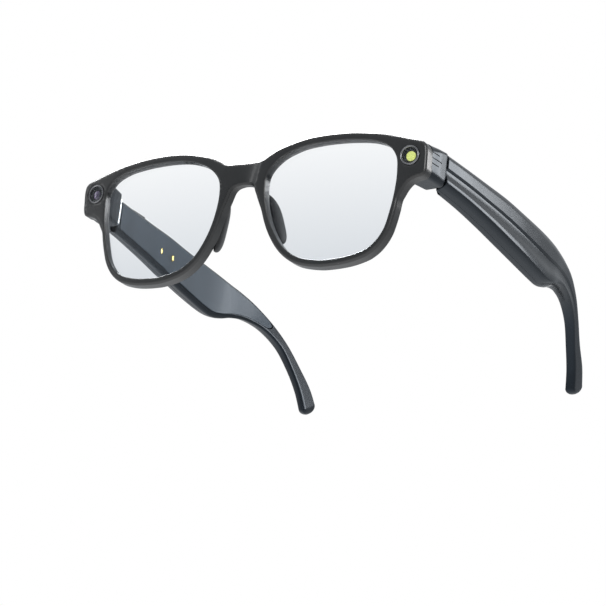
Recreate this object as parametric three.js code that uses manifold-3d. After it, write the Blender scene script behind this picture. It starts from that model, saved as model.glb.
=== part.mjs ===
// Smart glasses: a wrapped spectacle front with a camera and a lamp in its end lugs, and two
// folding electronics temples. Millimetres, +X to the wearer's left, +Y to the rear, +Z up.
// The front is drawn flat, as (x, depth behind the front face, z), and then wrapped and tilted.
import * as THREE from 'three';
import { mergeVertices } from 'three/addons/utils/BufferGeometryUtils.js';
import Module from 'manifold-3d';

const wasm = await Module();
wasm.setup();

// ---------------------------------------------------------------- driving dimensions
const gap = 0.3; // clearance between any two pieces that seat on each other
const lens = {
  width: 51.8, height: 43.05, thickness: 1.6, bulge: 0.6, setback: 2.3, tongue: 0.7, bite: 0.45,
};
const rim = { top: 2.95, side: 1.9, bottom: 2.4, nose: 2.3, depth: 4.2, restFlat: 0.07 };
const bridge = { gap: 19.2, top: 4.55, arch: -3.5, creaseZ: 4.6 };
const face = { wrap: 0.00083, tilt: 0.092, lensTop: 8.45 };
const lug = { reach: 10.9, top: 6.5, bottom: -7.3, corner: 1.8 };
const eye = { inset: 6.2, height: 0.76, ringR: 3.54, ringWall: 0.62, proud: 0.35 }; // camera and lamp ports
const cable = { width: 0.8, thickness: 0.3, bed: 2.0, coverDepth: 1.3 };
const block = {
  innerFront: 10, innerRear: 7.5, front: 8, top: 6.2, bottom: -6.5, wall: 1.0, slotDepth: 0.35,
};
const seam = 18.2; // where the end block meets the temple
const hinge = {
  inset: 5.1, behindSeam: 1.4, z: 0.15, height: 9.5, barrelR: 1.5, pinR: 0.7, boreR: 0.8, endKnuckle: 1.3,
  leaf: 0.7, leafReach: 3.6, leafLength: 11, arm: 2.7,
};
const temple = {
  length: 136.8, drop: 36.95, bendAt: 0.7, wall: 1.3, cover: 1.0, lip: 1.3, bayStart: 0.028, bayEnd: 0.72,
};
const core = { radius: 0.7, lead: 0.006, to: 0.955 };
const pad = {
  length: 19, below: 3.2, width: 7.2, thickness: 3.4, pegR: 0.5, pegShare: 0.252, pegInset: 1.02,
};
const contact = { rY: 0.75, rZ: 1.25, pitch: 7.8, station: 0.178, rise: 7.1, proud: 0.1 };
const button = { length: 9, width: 1.8, flange: 0.5, travel: 0.5, proud: 0.6, station: 0.1 };
const screw = { headR: 0.8, head: 0.35, shaftR: 0.4, length: 1.2 };

// ---------------------------------------------------------------- geometry helpers
/** A closed geometry with its shared vertices merged, no collapsed triangles and its faces outwards. */
function welded(geometry) {
  if (geometry.userData.welded) {
    return geometry;
  }
  const bare = geometry.clone();
  bare.deleteAttribute('normal');
  bare.deleteAttribute('uv');
  const merged = mergeVertices(bare, 1e-5);
  const kept = [];
  for (let i = 0; i < merged.index.count; i += 3) {
    const [a, b, c] = merged.index.array.slice(i, i + 3);
    if (a !== b && b !== c && c !== a) {
      kept.push(a, b, c);
    }
  }
  merged.setIndex(kept);
  const closed = outward(merged);
  closed.userData = { welded: true };
  return closed;
}

/** A closed geometry as a solid. */
function solid(geometry) {
  const merged = welded(geometry);
  const vertProperties = new Float32Array(merged.attributes.position.array);
  const triVerts = new Uint32Array(merged.index.array);
  return new wasm.Manifold(new wasm.Mesh({ numProp: 3, vertProperties, triVerts }));
}

/** A solid back as a geometry. */
function surface(manifold) {
  const mesh = manifold.getMesh();
  const geometry = new THREE.BufferGeometry();
  geometry.setAttribute('position', new THREE.BufferAttribute(new Float32Array(mesh.vertProperties), 3));
  geometry.setIndex(new THREE.BufferAttribute(new Uint32Array(mesh.triVerts), 1));
  geometry.userData = { welded: true };
  return geometry;
}

/** The first geometry with every other one cut away. */
function cut(body, ...tools) {
  return surface(tools.reduce((rest, tool) => rest.subtract(solid(tool)), solid(body)));
}

/** All geometries joined into one. */
function join(body, ...others) {
  return surface(others.reduce((sum, other) => sum.add(solid(other)), solid(body)));
}

/** What the two geometries share. */
function common(a, b) {
  return surface(solid(a).intersect(solid(b)));
}

/** A copy of an indexed geometry with every triangle turned over. */
function turnedOver(geometry) {
  const copy = geometry.clone();
  const index = copy.index.array;
  for (let i = 0; i < index.length; i += 3) {
    const first = index[i];
    index[i] = index[i + 1];
    index[i + 1] = first;
  }
  return copy;
}

/** Any geometry mirrored to the other side of X = 0, still facing outwards. */
function mirrored(geometry) {
  return turnedOver(welded(geometry)).scale(-1, 1, 1);
}

/** A closed indexed geometry with its faces pointing out. */
function outward(geometry) {
  const [a, b, c] = [new THREE.Vector3(), new THREE.Vector3(), new THREE.Vector3()];
  const { position } = geometry.attributes;
  const index = geometry.index.array;
  let volume = 0;
  for (let i = 0; i < index.length; i += 3) {
    a.fromBufferAttribute(position, index[i]);
    b.fromBufferAttribute(position, index[i + 1]);
    c.fromBufferAttribute(position, index[i + 2]);
    volume += a.dot(b.cross(c));
  }
  return volume < 0 ? turnedOver(geometry) : geometry;
}

/** An outline of [x, z] points run along Y from y0 to y1. */
function prism(outline, y0, y1) {
  const shape = new THREE.Shape(outline.map(([x, z]) => new THREE.Vector2(x, z)));
  const geometry = new THREE.ExtrudeGeometry(shape, { depth: y1 - y0, bevelEnabled: false });
  return geometry.rotateX(Math.PI / 2).translate(0, y1, 0);
}

/** A box between two corners. */
function box([x0, y0, z0], [x1, y1, z1], segmentsX = 1) {
  const geometry = new THREE.BoxGeometry(x1 - x0, y1 - y0, z1 - z0, segmentsX, 1, 1);
  return geometry.translate((x0 + x1) / 2, (y0 + y1) / 2, (z0 + z1) / 2);
}

/** A round rod between two points. */
function rod(from, to, radius, sides = 14) {
  const a = new THREE.Vector3(...from);
  const b = new THREE.Vector3(...to);
  const geometry = new THREE.CylinderGeometry(radius, radius, a.distanceTo(b), sides);
  const along = b.clone().sub(a).normalize();
  const turn = new THREE.Quaternion().setFromUnitVectors(new THREE.Vector3(0, 1, 0), along);
  return geometry.applyQuaternion(turn).translate(...a.add(b).multiplyScalar(0.5).toArray());
}

/** A body turned about Y, from [radius, depth] points, at x, z. */
function turned(profile, x, z, sides = 24) {
  const points = profile.map(([r, d]) => new THREE.Vector2(r, d));
  return new THREE.LatheGeometry(points, sides).translate(x, 0, z);
}

/** A skin over closed loops of equal length, with a fan over each end. */
function loft(loops) {
  const count = loops[0].length;
  const middle = (loop) => [0, 1, 2].map((k) => loop.reduce((sum, p) => sum + p[k], 0) / count);
  const points = [middle(loops[0]), ...loops.flat(), middle(loops[loops.length - 1])];
  const last = points.length - 1;
  const index = [];
  for (let i = 0; i < count; i += 1) {
    const next = (i + 1) % count;
    index.push(0, 1 + next, 1 + i);
    index.push(last, last - count + i, last - count + next);
    for (let row = 0; row < loops.length - 1; row += 1) {
      const a = 1 + row * count;
      index.push(a + i, a + next, a + count + i);
      index.push(a + next, a + count + next, a + count + i);
    }
  }
  const geometry = new THREE.BufferGeometry();
  geometry.setAttribute('position', new THREE.Float32BufferAttribute(points.flat(), 3));
  geometry.setIndex(index);
  return outward(geometry);
}

/** A smooth curve through [x, z] points, as a list of [x, z]. */
function smooth(points, steps, closed = false) {
  const knots = points.map(([x, z]) => new THREE.Vector3(x, 0, z));
  const curve = new THREE.CatmullRomCurve3(knots, closed, 'centripetal');
  return curve.getPoints(steps).slice(0, closed ? steps : steps + 1).map((p) => [p.x, p.z]);
}

/** A flat-space geometry laid onto the wrapped and tilted front. */
function wrapped(geometry) {
  const copy = geometry.clone();
  const position = copy.attributes.position;
  for (let i = 0; i < position.count; i += 1) {
    const x = position.getX(i);
    const lean = face.wrap * x * x - face.tilt * position.getZ(i);
    position.setY(i, position.getY(i) + lean);
  }
  return copy;
}

// ---------------------------------------------------------------- outlines of the front
const noseX = bridge.gap / 2;
const lensOuter = noseX + lens.width;
const halfWidth = lensOuter + lug.reach;
const hingeX = halfWidth - hinge.inset;
const hingeY = seam + hinge.behindSeam;
const lensBottom = face.lensTop - lens.height;

/** The lens opening, from the outer top corner over the brow, down the nose and round. */
const openingShares = [
  [0.99, 0.82], [0.938, 0.911], [0.828, 0.969], [0.674, 0.994], [0.548, 1], [0.413, 0.996],
  [0.257, 0.971], [0.106, 0.897], [0.017, 0.787], [0, 0.664], [0.027, 0.467], [0.087, 0.286],
  [0.181, 0.13], [0.292, 0.042], [0.44, 0.003], [0.521, 0], [0.683, 0.019], [0.824, 0.079],
  [0.915, 0.2], [0.965, 0.386], [0.994, 0.578], [1, 0.711],
];
const openingSteps = 54;
const opening = smooth(
  openingShares.map(([u, v]) => [noseX + u * lens.width, lensBottom + v * lens.height]),
  openingSteps,
  true,
);
const openingNormals = opening.map((_, i) => {
  const a = opening[(i + openingSteps - 1) % openingSteps];
  const b = opening[(i + 1) % openingSteps];
  const length = Math.hypot(b[0] - a[0], b[1] - a[1]);
  return [(b[1] - a[1]) / length, -(b[0] - a[0]) / length];
});

/** The opening grown outwards by a distance that may depend on the direction. */
function grown(distance) {
  const by = typeof distance === 'function' ? distance : () => distance;
  return opening.map(([x, z], i) => {
    const [nx, nz] = openingNormals[i];
    return [x + nx * by(nx, nz), z + nz * by(nx, nz)];
  });
}

/** Rim width in the direction of an outward normal. */
function rimWidth(nx, nz) {
  const across = nx > 0 ? rim.side : rim.nose;
  const along = nz > 0 ? rim.top : rim.bottom;
  return across * nx * nx + along * nz * nz;
}

/** The stretch of the grown rim whose normals lie between two angles in degrees. */
function rimArc(fromDegrees, toDegrees, distance = rimWidth) {
  const points = grown(distance);
  const picked = points
    .map((point, i) => {
      const [nx, nz] = openingNormals[i];
      const angle = THREE.MathUtils.radToDeg(Math.atan2(nz, nx));
      return { point, angle: angle > 150 ? angle - 360 : angle };
    })
    .filter(({ angle }) => angle <= fromDegrees && angle >= toDegrees);
  return picked.sort((a, b) => b.angle - a.angle).map(({ point }) => point);
}

/** The bridge's top edge, from the middle to the brow. */
const bridgeTop = [[0, bridge.top], [0.4 * noseX, bridge.top], [0.81 * noseX, bridge.creaseZ]];
const browRise = [[noseX + 0.9, bridge.creaseZ + 1.4], [noseX + 5.2, bridge.creaseZ + 3.4]];
/** The bridge's underside, from the nose side of the rim to the middle. */
const bridgeArch = [
  [0.865 * noseX, bridge.arch - 10.4], [0.708 * noseX, bridge.arch - 6.9], [0.56 * noseX, bridge.arch - 3.5],
  [0.47 * noseX, bridge.arch - 1.7], [0.333 * noseX, bridge.arch - 0.6], [0.135 * noseX, bridge.arch - 0.1],
  [0, bridge.arch],
];
/** The lug from the brow, round its two corners and back to the rim's side. */
const lugEdge = [
  [lensOuter - 10.4, lug.top + 3.9], [lensOuter - 5.9, lug.top + 3.2], [lensOuter - 0.4, lug.top + 1.9],
  [lensOuter + 4.1, lug.top + 0.7], [halfWidth - 3.8, lug.top], [halfWidth - lug.corner, lug.top - 0.7],
  [halfWidth - 0.6, lug.top - lug.corner], [halfWidth, lug.top - 4], [halfWidth, lug.bottom + 5.8],
  [halfWidth - 0.1, lug.bottom + 2.9], [halfWidth - 0.7, lug.bottom + 1.2],
  [halfWidth - lug.corner, lug.bottom + 0.5], [halfWidth - 3.8, lug.bottom],
  [lensOuter + 4.8, lug.bottom - 1.1], [lensOuter + 3.1, lug.bottom - 2.9],
  [lensOuter + 1.7, lug.bottom - 5.3],
];

/** Half of the front's outer edge, from the bridge's top round to its arch. */
function halfOutline() {
  const points = [
    ...smooth([...bridgeTop, ...browRise], 8),
    ...rimArc(108, 84),
    ...smooth(lugEdge, 36),
    ...rimArc(-8, -166),
    ...smooth(bridgeArch, 14),
  ];
  const lowest = Math.min(...points.map((p) => p[1]));
  return points.map(([x, z]) => [x, z < lowest + rim.restFlat ? lowest : z]);
}
const outerHalf = halfOutline();
const rimBottom = Math.min(...outerHalf.map((p) => p[1]));
const outerEdge = [...outerHalf, ...outerHalf.slice(1, -1).reverse().map(([x, z]) => [-x, z])];

/** A path of [x, z] points given a width, as an outline. */
function ribbon(path, width) {
  const side = (sign) =>
    path.map((point, i) => {
      const a = path[Math.max(i - 1, 0)];
      const b = path[Math.min(i + 1, path.length - 1)];
      const length = Math.hypot(b[0] - a[0], b[1] - a[1]);
      const reach = (sign * width) / 2 / length;
      return [point[0] - (b[1] - a[1]) * reach, point[1] + (b[0] - a[0]) * reach];
    });
  return [...side(1), ...side(-1).reverse()];
}

const portX = halfWidth - eye.inset;
/** The cable's way from one lug over the brow and the bridge to the other. */
function cablePath() {
  const half = [
    [0, (bridge.top + bridge.arch) / 2 + 0.4],
    [0.5 * noseX, (bridge.top + bridge.arch) / 2 + 0.9],
    [noseX + 0.6, bridge.creaseZ - 0.9],
    ...rimArc(120, 70, (nx, nz) => 0.56 * rimWidth(nx, nz)).filter((_, i) => i % 3 === 0),
    [lensOuter - 0.6, lug.top - 0.6],
    [portX - eye.ringR - 0.4, eye.height + 2],
  ];
  const line = smooth(half, 22);
  return [...line.slice(1).reverse().map(([x, z]) => [-x, z]), ...line];
}
const cableLine = cablePath();

// ---------------------------------------------------------------- pieces of the front
const grooveFront = lens.setback;
const tongueFront = lens.setback + gap;
const grooveDepth = lens.tongue + 2 * gap;
const boreR = eye.ringR + gap;

/** The one-piece front: rims, bridge and lugs, with lens grooves, cable channel and port bores. */
function frontFrame() {
  const plate = prism(outerEdge, 0, rim.depth);
  const window = prism(opening, -1, rim.depth + 1);
  const groove = prism(grown(lens.bite + gap), grooveFront, grooveFront + grooveDepth);
  const channel = prism(ribbon(cableLine, cable.width + 2 * gap), cable.bed, rim.depth + 1);
  const bore = turned([[0, -1], [boreR, -1], [boreR, rim.depth + 1], [0, rim.depth + 1]], portX, eye.height);
  const socket = padPeg(pad.pegR + gap, rim.depth - 2.2, rim.depth + 1);
  const paired = [window, groove, bore, socket].flatMap((tool) => [tool, mirrored(tool)]);
  return wrapped(cut(plate, ...paired, channel, bridgeScoop()));
}

/** The hollow saddle in the bridge's front face. */
function bridgeScoop() {
  const radius = 16;
  const depth = 1.3;
  const tall = bridge.top - bridge.arch + 30;
  return rod([0, depth - radius, bridge.arch - tall], [0, depth - radius, bridge.top + tall], radius, 60);
}

/** The strip that closes the cable channel from behind. */
function browCover() {
  return wrapped(prism(ribbon(cableLine.slice(2, -2), cable.width), rim.depth - cable.coverDepth, rim.depth));
}

/** The flat cable that joins the two lugs. */
function frontFlexCable() {
  const from = cable.bed + gap;
  return wrapped(prism(ribbon(cableLine.slice(2, -2), cable.width), from, from + cable.thickness));
}

/** A lens: a bulged disc with a tongue round its edge that sits in the rim's groove. */
function lensBody() {
  const edge = grown(-gap);
  const tip = grown(lens.bite);
  const centre = [noseX + 0.53 * lens.width, lensBottom + 0.55 * lens.height];
  const ring = (outline, share, depth) =>
    outline.map(([x, z]) => {
      const bulge = lens.bulge * (1 - share * share);
      return [centre[0] + (x - centre[0]) * share, depth - bulge, centre[1] + (z - centre[1]) * share];
    });
  const back = lens.setback + lens.thickness;
  const loops = [
    ring(edge, 0.5, lens.setback), ring(edge, 1, lens.setback),
    ring(edge, 1, tongueFront), ring(tip, 1, tongueFront), ring(tip, 1, tongueFront + lens.tongue),
    ring(edge, 1, tongueFront + lens.tongue), ring(edge, 1, back), ring(edge, 0.5, back),
  ];
  return wrapped(loft(loops));
}

const padTop = [0.86 * noseX, bridge.arch - pad.below];
const padFoot = [noseX + 3.2, padTop[1] - pad.length];

/** The peg or socket that locates a nose pad on the back of the rim. */
function padPeg(radius, from, to) {
  const x = padTop[0] + (padFoot[0] - padTop[0]) * pad.pegShare - pad.pegInset;
  const z = padTop[1] + (padFoot[1] - padTop[1]) * pad.pegShare;
  return rod([x, from, z], [x, to, z], radius, 14);
}

/** A nose pad: a rounded wing behind the rim that leans out as it goes back and down. */
function nosePad() {
  const rows = 9;
  const around = 14;
  const loops = [];
  for (let row = 0; row <= rows; row += 1) {
    const t = row / rows;
    const swell = Math.sqrt(Math.max(1 - (2 * t - 1) ** 4, 0.02));
    const x = padTop[0] + (padFoot[0] - padTop[0]) * t;
    const z = padTop[1] + (padFoot[1] - padTop[1]) * t;
    const halfDeep = (pad.width / 2) * swell * (0.72 + 0.28 * t);
    const halfThick = (pad.thickness / 2) * swell;
    loops.push(
      Array.from({ length: around }, (_, k) => {
        const angle = (2 * Math.PI * k) / around;
        const deep = halfDeep * (1 + Math.cos(angle));
        return [x + halfThick * Math.sin(angle) + 0.3 * deep, rim.depth + gap + deep, z];
      }),
    );
  }
  return wrapped(join(loft(loops), padPeg(pad.pegR, rim.depth - 1.7, rim.depth + 1.6)));
}

// ---------------------------------------------------------------- camera and lamp
const ringInner = eye.ringR - eye.ringWall;

/** The metal ring round a port, slightly proud of the front face. */
function trimRing() {
  const step = 0.2;
  return turned([
    [ringInner, -eye.proud + step], [ringInner + step, -eye.proud], [eye.ringR - step, -eye.proud],
    [eye.ringR, -eye.proud + step], [eye.ringR, 1.4], [ringInner, 1.4], [ringInner, -eye.proud + step],
  ], portX, eye.height);
}

/** A disc or a plain turned body on the port's axis. */
function portDisc(radius, from, to, sides = 24) {
  return turned([[0, from], [radius, from], [radius, to], [0, to]], portX, eye.height, sides);
}

const stemR = 2.1;

/** The camera's stepped barrel, open at the front for its lens element. */
function cameraBarrel() {
  const bore = 1.7;
  return turned([
    [0, 3.4], [bore, 3.4], [bore, 1.6], [ringInner - gap, 1.6], [ringInner - gap, 4],
    [stemR, 4], [stemR, 5.8], [0, 5.8],
  ], portX, eye.height);
}

/** The front lens of the camera, domed forwards. */
function cameraLensElement() {
  const radius = 1.7 - gap;
  const dome = 0.5;
  const crown = Array.from({ length: 5 }, (_, i) => {
    const turn = (i * Math.PI) / 8;
    return [radius * Math.sin(turn), 2.0 - dome * Math.cos(turn)];
  });
  return turned([...crown, [radius, 3.1], [0, 3.1]], portX, eye.height, 20);
}

/** The cup that holds the lamp's emitter. */
function lampHolder() {
  const out = ringInner - gap;
  const cup = 2.2;
  return turned([
    [0, 2.4], [cup, 2.4], [cup, 1.6], [out, 1.6], [out, 4], [stemR, 4], [stemR, 5.4], [0, 5.4],
  ], portX, eye.height);
}

/** A small circuit board behind a port. */
function portBoard(from) {
  const half = 2.1;
  return box([portX - half, from, eye.height - half], [portX + half, from + 0.8, eye.height + half]);
}

// ---------------------------------------------------------------- end blocks and hinges
const blockOuter = halfWidth + 0.5;
const blockRear = seam - gap / 2;
const leafZ = hinge.height / 2 - 0.2;

/** The end block's cross-section at a depth, drawn in by a wall. */
function blockSection(y, inset) {
  const taper = THREE.MathUtils.clamp((y - block.front) / (blockRear - block.front), 0, 1);
  const reach = block.innerFront + (block.innerRear - block.innerFront) * taper;
  const [x0, x1] = [halfWidth - reach + inset, blockOuter - inset];
  const [z0, z1] = [block.bottom + inset, block.top - inset];
  const r = 1.4;
  return [
    [x0 + r, z0], [x1 - r, z0 + 0.4], [x1 - 0.3 * r, z0 + 0.7 + 0.3 * r], [x1, z0 + 1 + r], [x1, z1 - r],
    [x1 - 0.3 * r, z1 - 0.3 * r], [x1 - r, z1], [x0 + r, z1], [x0, z1 - r], [x0, z0 + r],
  ].map(([x, z]) => [x, y, z]);
}

/** Everything in front of a depth behind the front face, as a wrapped slab. */
function ahead(depth) {
  return wrapped(box([halfWidth - 18, -20, -30], [blockOuter + 6, depth, 30], 12));
}

/** The box-shaped housing behind a lug, open to the lug, with a leaf recess in its back. */
function endpiece() {
  const body = loft([0, block.front, blockRear].map((y) => blockSection(y, 0)));
  const hollow = loft([-1, block.front, blockRear - 2 * block.wall].map((y) => blockSection(y, block.wall)));
  const recess = box(
    [hingeX - hinge.barrelR - gap, blockRear - hinge.leaf - gap, hinge.z - leafZ - gap],
    [hingeX + hinge.leafReach + gap, blockRear + 1, hinge.z + leafZ + gap],
  );
  const slots = [2.4, 0.4, -1.6].map((z, i) => {
    const reach = i === 1 ? 5.2 : 3.8;
    return box([blockOuter - block.slotDepth, 9.2, z], [blockOuter + 1, 9.2 + reach, z + 0.35]);
  });
  const holes = leafScrewHeights().map((z) => frameScrew(z, screw.shaftR + gap / 3, screw.headR, 0.1));
  return cut(body, hollow, ahead(rim.depth + gap), recess, ...slots, ...holes);
}

/** Heights of the two screws in a hinge leaf. */
function leafScrewHeights() {
  return [hinge.z + 2.4, hinge.z - 2.4];
}

/** A hinge leaf's screw, driven forwards into the end block. */
function frameScrew(z, shaftR = screw.shaftR, headR = screw.headR, extra = 0) {
  const x = hingeX + 2.6;
  const back = blockRear - 0.05;
  const shaft = rod([x, back - screw.head, z], [x, back - screw.head - screw.length - extra, z], shaftR, 8);
  return join(shaft, rod([x, back, z], [x, back - screw.head - 0.01, z], headR, 12));
}

/** A hinge knuckle between two heights, bored for the pin. */
function knuckle(z0, z1) {
  return rod([hingeX, hingeY, z0], [hingeX, hingeY, z1], hinge.barrelR, 18);
}

/** The pin's bore through the whole hinge. */
function hingeBore() {
  const reach = hinge.height;
  return rod([hingeX, hingeY, hinge.z - reach], [hingeX, hingeY, hinge.z + reach], hinge.boreR, 14);
}

const hingeTop = hinge.z + hinge.height / 2;
const hingeFoot = hinge.z - hinge.height / 2;

/** The leaf on the end block: a plate with a short knuckle at each end. */
function frameHingeLeaf() {
  const front = blockRear - hinge.leaf;
  const plate = box(
    [hingeX - hinge.barrelR, front, hinge.z - leafZ],
    [hingeX + hinge.leafReach, blockRear, hinge.z + leafZ],
  );
  const pins = [[hingeTop - hinge.endKnuckle, hingeTop], [hingeFoot, hingeFoot + hinge.endKnuckle]];
  const parts = pins.flatMap(([z0, z1]) => [
    knuckle(z0, z1),
    box([hingeX - hinge.barrelR, front + 0.1, z0], [hingeX + hinge.barrelR, hingeY, z1]),
  ]);
  const holes = leafScrewHeights().map((z) => frameScrew(z, screw.shaftR + 0.15, screw.headR + 0.15, 0));
  const clear = rod(
    [hingeX, hingeY, hingeFoot + hinge.endKnuckle],
    [hingeX, hingeY, hingeTop - hinge.endKnuckle],
    hinge.barrelR + gap,
    18,
  );
  return cut(join(plate, ...parts), hingeBore(), clear, ...holes);
}

/** The leaf in the temple: one long knuckle and a plate that lies along the cavity's outer wall. */
function templeHingeLeaf() {
  const z0 = hingeFoot + hinge.endKnuckle + gap;
  const z1 = hingeTop - hinge.endKnuckle - gap;
  const plateX = hingeX + hinge.arm;
  const arm = box([hingeX, hingeY, z0], [plateX + hinge.leaf, hingeY + hinge.barrelR, z1]);
  const plate = box([plateX, hingeY, z0], [plateX + hinge.leaf, hingeY + hinge.leafLength, z1]);
  const [shaftR, headR] = [screw.shaftR + 0.15, screw.headR + 0.15];
  const holes = templeScrewPlaces().map(([y, z]) => templeScrew(y, z, shaftR, headR));
  return cut(join(knuckle(z0, z1), arm, plate), hingeBore(), ...holes);
}

/** Where the two screws of a temple leaf stand. */
function templeScrewPlaces() {
  return [[hingeY + 5, hinge.z], [hingeY + 9, hinge.z]];
}

/** A temple leaf's screw, driven outwards into the temple's wall. */
function templeScrew(y, z, shaftR = screw.shaftR, headR = screw.headR) {
  const x = hingeX + hinge.arm;
  const tip = x + hinge.leaf + screw.length;
  const head = rod([x - 0.1, y, z], [x + screw.head, y, z], headR, 12);
  return join(head, rod([x, y, z], [tip, y, z], shaftR, 8));
}

/** The hinge pin, with a slightly wider head at each end. */
function hingePin() {
  const head = 0.35;
  const shaft = rod([hingeX, hingeY, hingeFoot - 0.2], [hingeX, hingeY, hingeTop + 0.2], hinge.pinR, 14);
  const cap = (z) => rod([hingeX, hingeY, z], [hingeX, hingeY, z + head], hinge.pinR + 0.4, 14);
  return join(shaft, cap(hingeTop + 0.1), cap(hingeFoot - 0.1 - head));
}

// ---------------------------------------------------------------- temples
const templeFront = seam + gap / 2;
const tipZ = rimBottom;
/** Along the temple: share of length and height at the top edge, the same at the bottom edge,
 *  then the section's middle in x and its half thickness at the top and at the bottom. */
const templeStations = [
  [0, 5.8, 0, -6.2, -2, 2.9, 3.1],
  [0.106, 6.2, 0.106, -7.1, -1, 2.7, 3.3],
  [0.202, 6.6, 0.211, -8.5, -0.3, 2.5, 3.5],
  [0.308, 6.6, 0.312, -10.3, 0.3, 2.4, 3.6],
  [0.409, 5.8, 0.413, -12, 0.7, 2.4, 3.6],
  [0.509, 5.1, 0.505, -13.4, 0.7, 2.4, 3.3],
  [0.577, 4.4, 0.553, -13.5, 0.4, 2.3, 3.1],
  [0.625, 3.5, 0.596, -12, -0.1, 2.3, 2.9],
  [0.686, 2.2, 0.639, -9.9, -1.2, 2.2, 2.6],
  [0.749, -0.3, 0.696, -8.5, -2.7, 2.3, 2.4],
  [0.819, -5, 0.771, -9.3, -5.1, 2.2, 2.2],
  [0.879, -10.9, 0.841, -13.6, -7.6, 2, 2],
  [0.934, -17.9, 0.89, -20.9, -9.8, 1.8, 1.8],
  [0.978, -25.2, 0.928, -28.5, -11.4, 1.7, 1.7],
  [1, -32.2, 0.95, -36.2, -12.7, 1.6, 1.6],
];

/** The temple's measures at a share of its stations, counted from its front to its tip. */
function templeAt(s) {
  const rows = templeStations.length - 1;
  const low = Math.min(Math.floor(s * rows), rows - 1);
  const t = s * rows - low;
  const value = (k) => templeStations[low][k] * (1 - t) + templeStations[low + 1][k] * t;
  const edge = (share, z) => {
    const tail = Math.max(share - temple.bendAt, 0) / (1 - temple.bendAt);
    return [templeFront + share * temple.length, z + (tipZ + temple.drop) * tail * tail];
  };
  const bottom = edge(value(2), value(3));
  const top = edge(value(0), value(1));
  const height = Math.hypot(top[0] - bottom[0], top[1] - bottom[1]);
  const up = [(top[0] - bottom[0]) / height, (top[1] - bottom[1]) / height];
  const half = (rise) => value(6) + (value(5) - value(6)) * (rise / height);
  return { bottom, up, height, x: halfWidth + value(4), half };
}

/** A point of the temple: a share of the way along, an x offset from its middle, a rise from its foot. */
function spot(s, x, rise) {
  const { bottom, up, x: middle } = templeAt(s);
  return [middle + x, bottom[0] + up[0] * rise, bottom[1] + up[1] * rise];
}

/** Shares of the way between two shares, close enough to follow the temple's curve. */
function shares(from, to, step = 0.5 / (templeStations.length - 1)) {
  const count = Math.max(Math.ceil((to - from) / step), 1);
  return Array.from({ length: count + 1 }, (_, i) => from + ((to - from) * i) / count);
}

/** The temple's outer skin at one station, as [share of half thickness, rise in mm]. */
function skinLoop(s, shrink = 1) {
  const { height: h, half } = templeAt(s);
  const edge = Math.min(1, h / 12);
  const rounding = [
    [-0.7, -edge], [0.5, 0.3 * edge], [0.94, 1.3 * edge], [1, 0.22 * h], [0.88, 0.5 * h], [1, 0.57 * h],
    [1, 0.86 * h], [0.66, 0.98 * h], [0, h], [-0.66, 0.98 * h], [-1, 0.88 * h], [-1, 0.08 * h],
  ];
  return rounding.map(([a, rise]) => {
    const at = h / 2 + (rise - h / 2) * shrink;
    return spot(s, a * half(rise) * shrink, at);
  });
}

/** A body whose section at each share is a rectangle given by [x from, x to, rise from, rise to]. */
function run(from, to, section) {
  return loft(
    shares(from, to).map((s) => {
      const [x0, x1, r0, r1] = section(s, templeAt(s));
      return [spot(s, x0(r0), r0), spot(s, x1(r0), r0), spot(s, x1(r1), r1), spot(s, x0(r1), r1)];
    }),
  );
}

/** The bay's section: open to the inner side, walled on the other three. */
function baySection(grow, inside) {
  return (s, { height, half }) => [
    (rise) => (inside ? inside : -half(rise) - 2),
    (rise) => half(rise) - temple.wall + grow,
    temple.lip - grow,
    height - temple.lip + grow,
  ];
}

/** A rounded end for the tail: the last skin loop drawn in twice beyond the last station. */
function tailEnd() {
  const { up } = templeAt(1);
  const way = [-up[1], up[0]];
  const sign = way[1] < 0 ? 1 : -1;
  return [[0.9, 0.85], [1.6, 0.5]].map(([reach, shrink]) =>
    skinLoop(1, shrink).map(([x, y, z]) => [x, y + sign * way[0] * reach, z + sign * way[1] * reach]));
}

/** The steel core of the tail, or the bore round it with some room all over. */
function tailCore(room = 0) {
  const sides = 8;
  const radius = core.radius + room;
  const from = temple.bayEnd + core.lead;
  const along = shares(from, core.to);
  const ends = room ? [from - 3 * core.lead, ...along, core.to + core.lead] : along;
  return loft(
    ends.map((s) => {
      const middle = templeAt(s).height / 2;
      return Array.from({ length: sides }, (_, k) => {
        const angle = (2 * Math.PI * (k + 0.5)) / sides;
        return spot(s, radius * Math.cos(angle), middle + radius * Math.sin(angle));
      });
    }),
  );
}

/** Room round the hinge, and the slot that lets the leaf into the bay. */
function hingeRoom() {
  const z0 = hingeFoot + hinge.endKnuckle;
  const z1 = hingeTop - hinge.endKnuckle;
  return [
    box([50, 0, -40], [hingeX + hinge.barrelR + 0.5, hingeY + hinge.barrelR + 0.5, 40]),
    box([50, 0, z0], [hingeX + hinge.arm + hinge.leaf + gap, hingeY + hinge.leafLength + gap, z1]),
  ];
}

/** The moulded temple: outer wall, tail, battery bay and the boss that takes the hinge leaf. */
function templeShell() {
  const skin = loft([...shares(0, 1).map((s) => skinLoop(s)), ...tailEnd()]);
  const bay = run(temple.bayStart, temple.bayEnd, baySection(0));
  const bossX = hingeX + hinge.arm + hinge.leaf + gap;
  const bossHalf = 3.2;
  const boss = box(
    [bossX, hingeY + 3, hinge.z - bossHalf],
    [bossX + 3, hingeY + hinge.leafLength, hinge.z + bossHalf],
  );
  const bossInSkin = common(boss, skin);
  const coreBore = tailCore(gap);
  const holes = templeScrewPlaces().map(([y, z]) => templeScrew(y, z, screw.shaftR + 0.1, 0.3));
  return cut(join(cut(skin, bay, ...hingeRoom()), bossInSkin), coreBore, ...holes);
}

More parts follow.
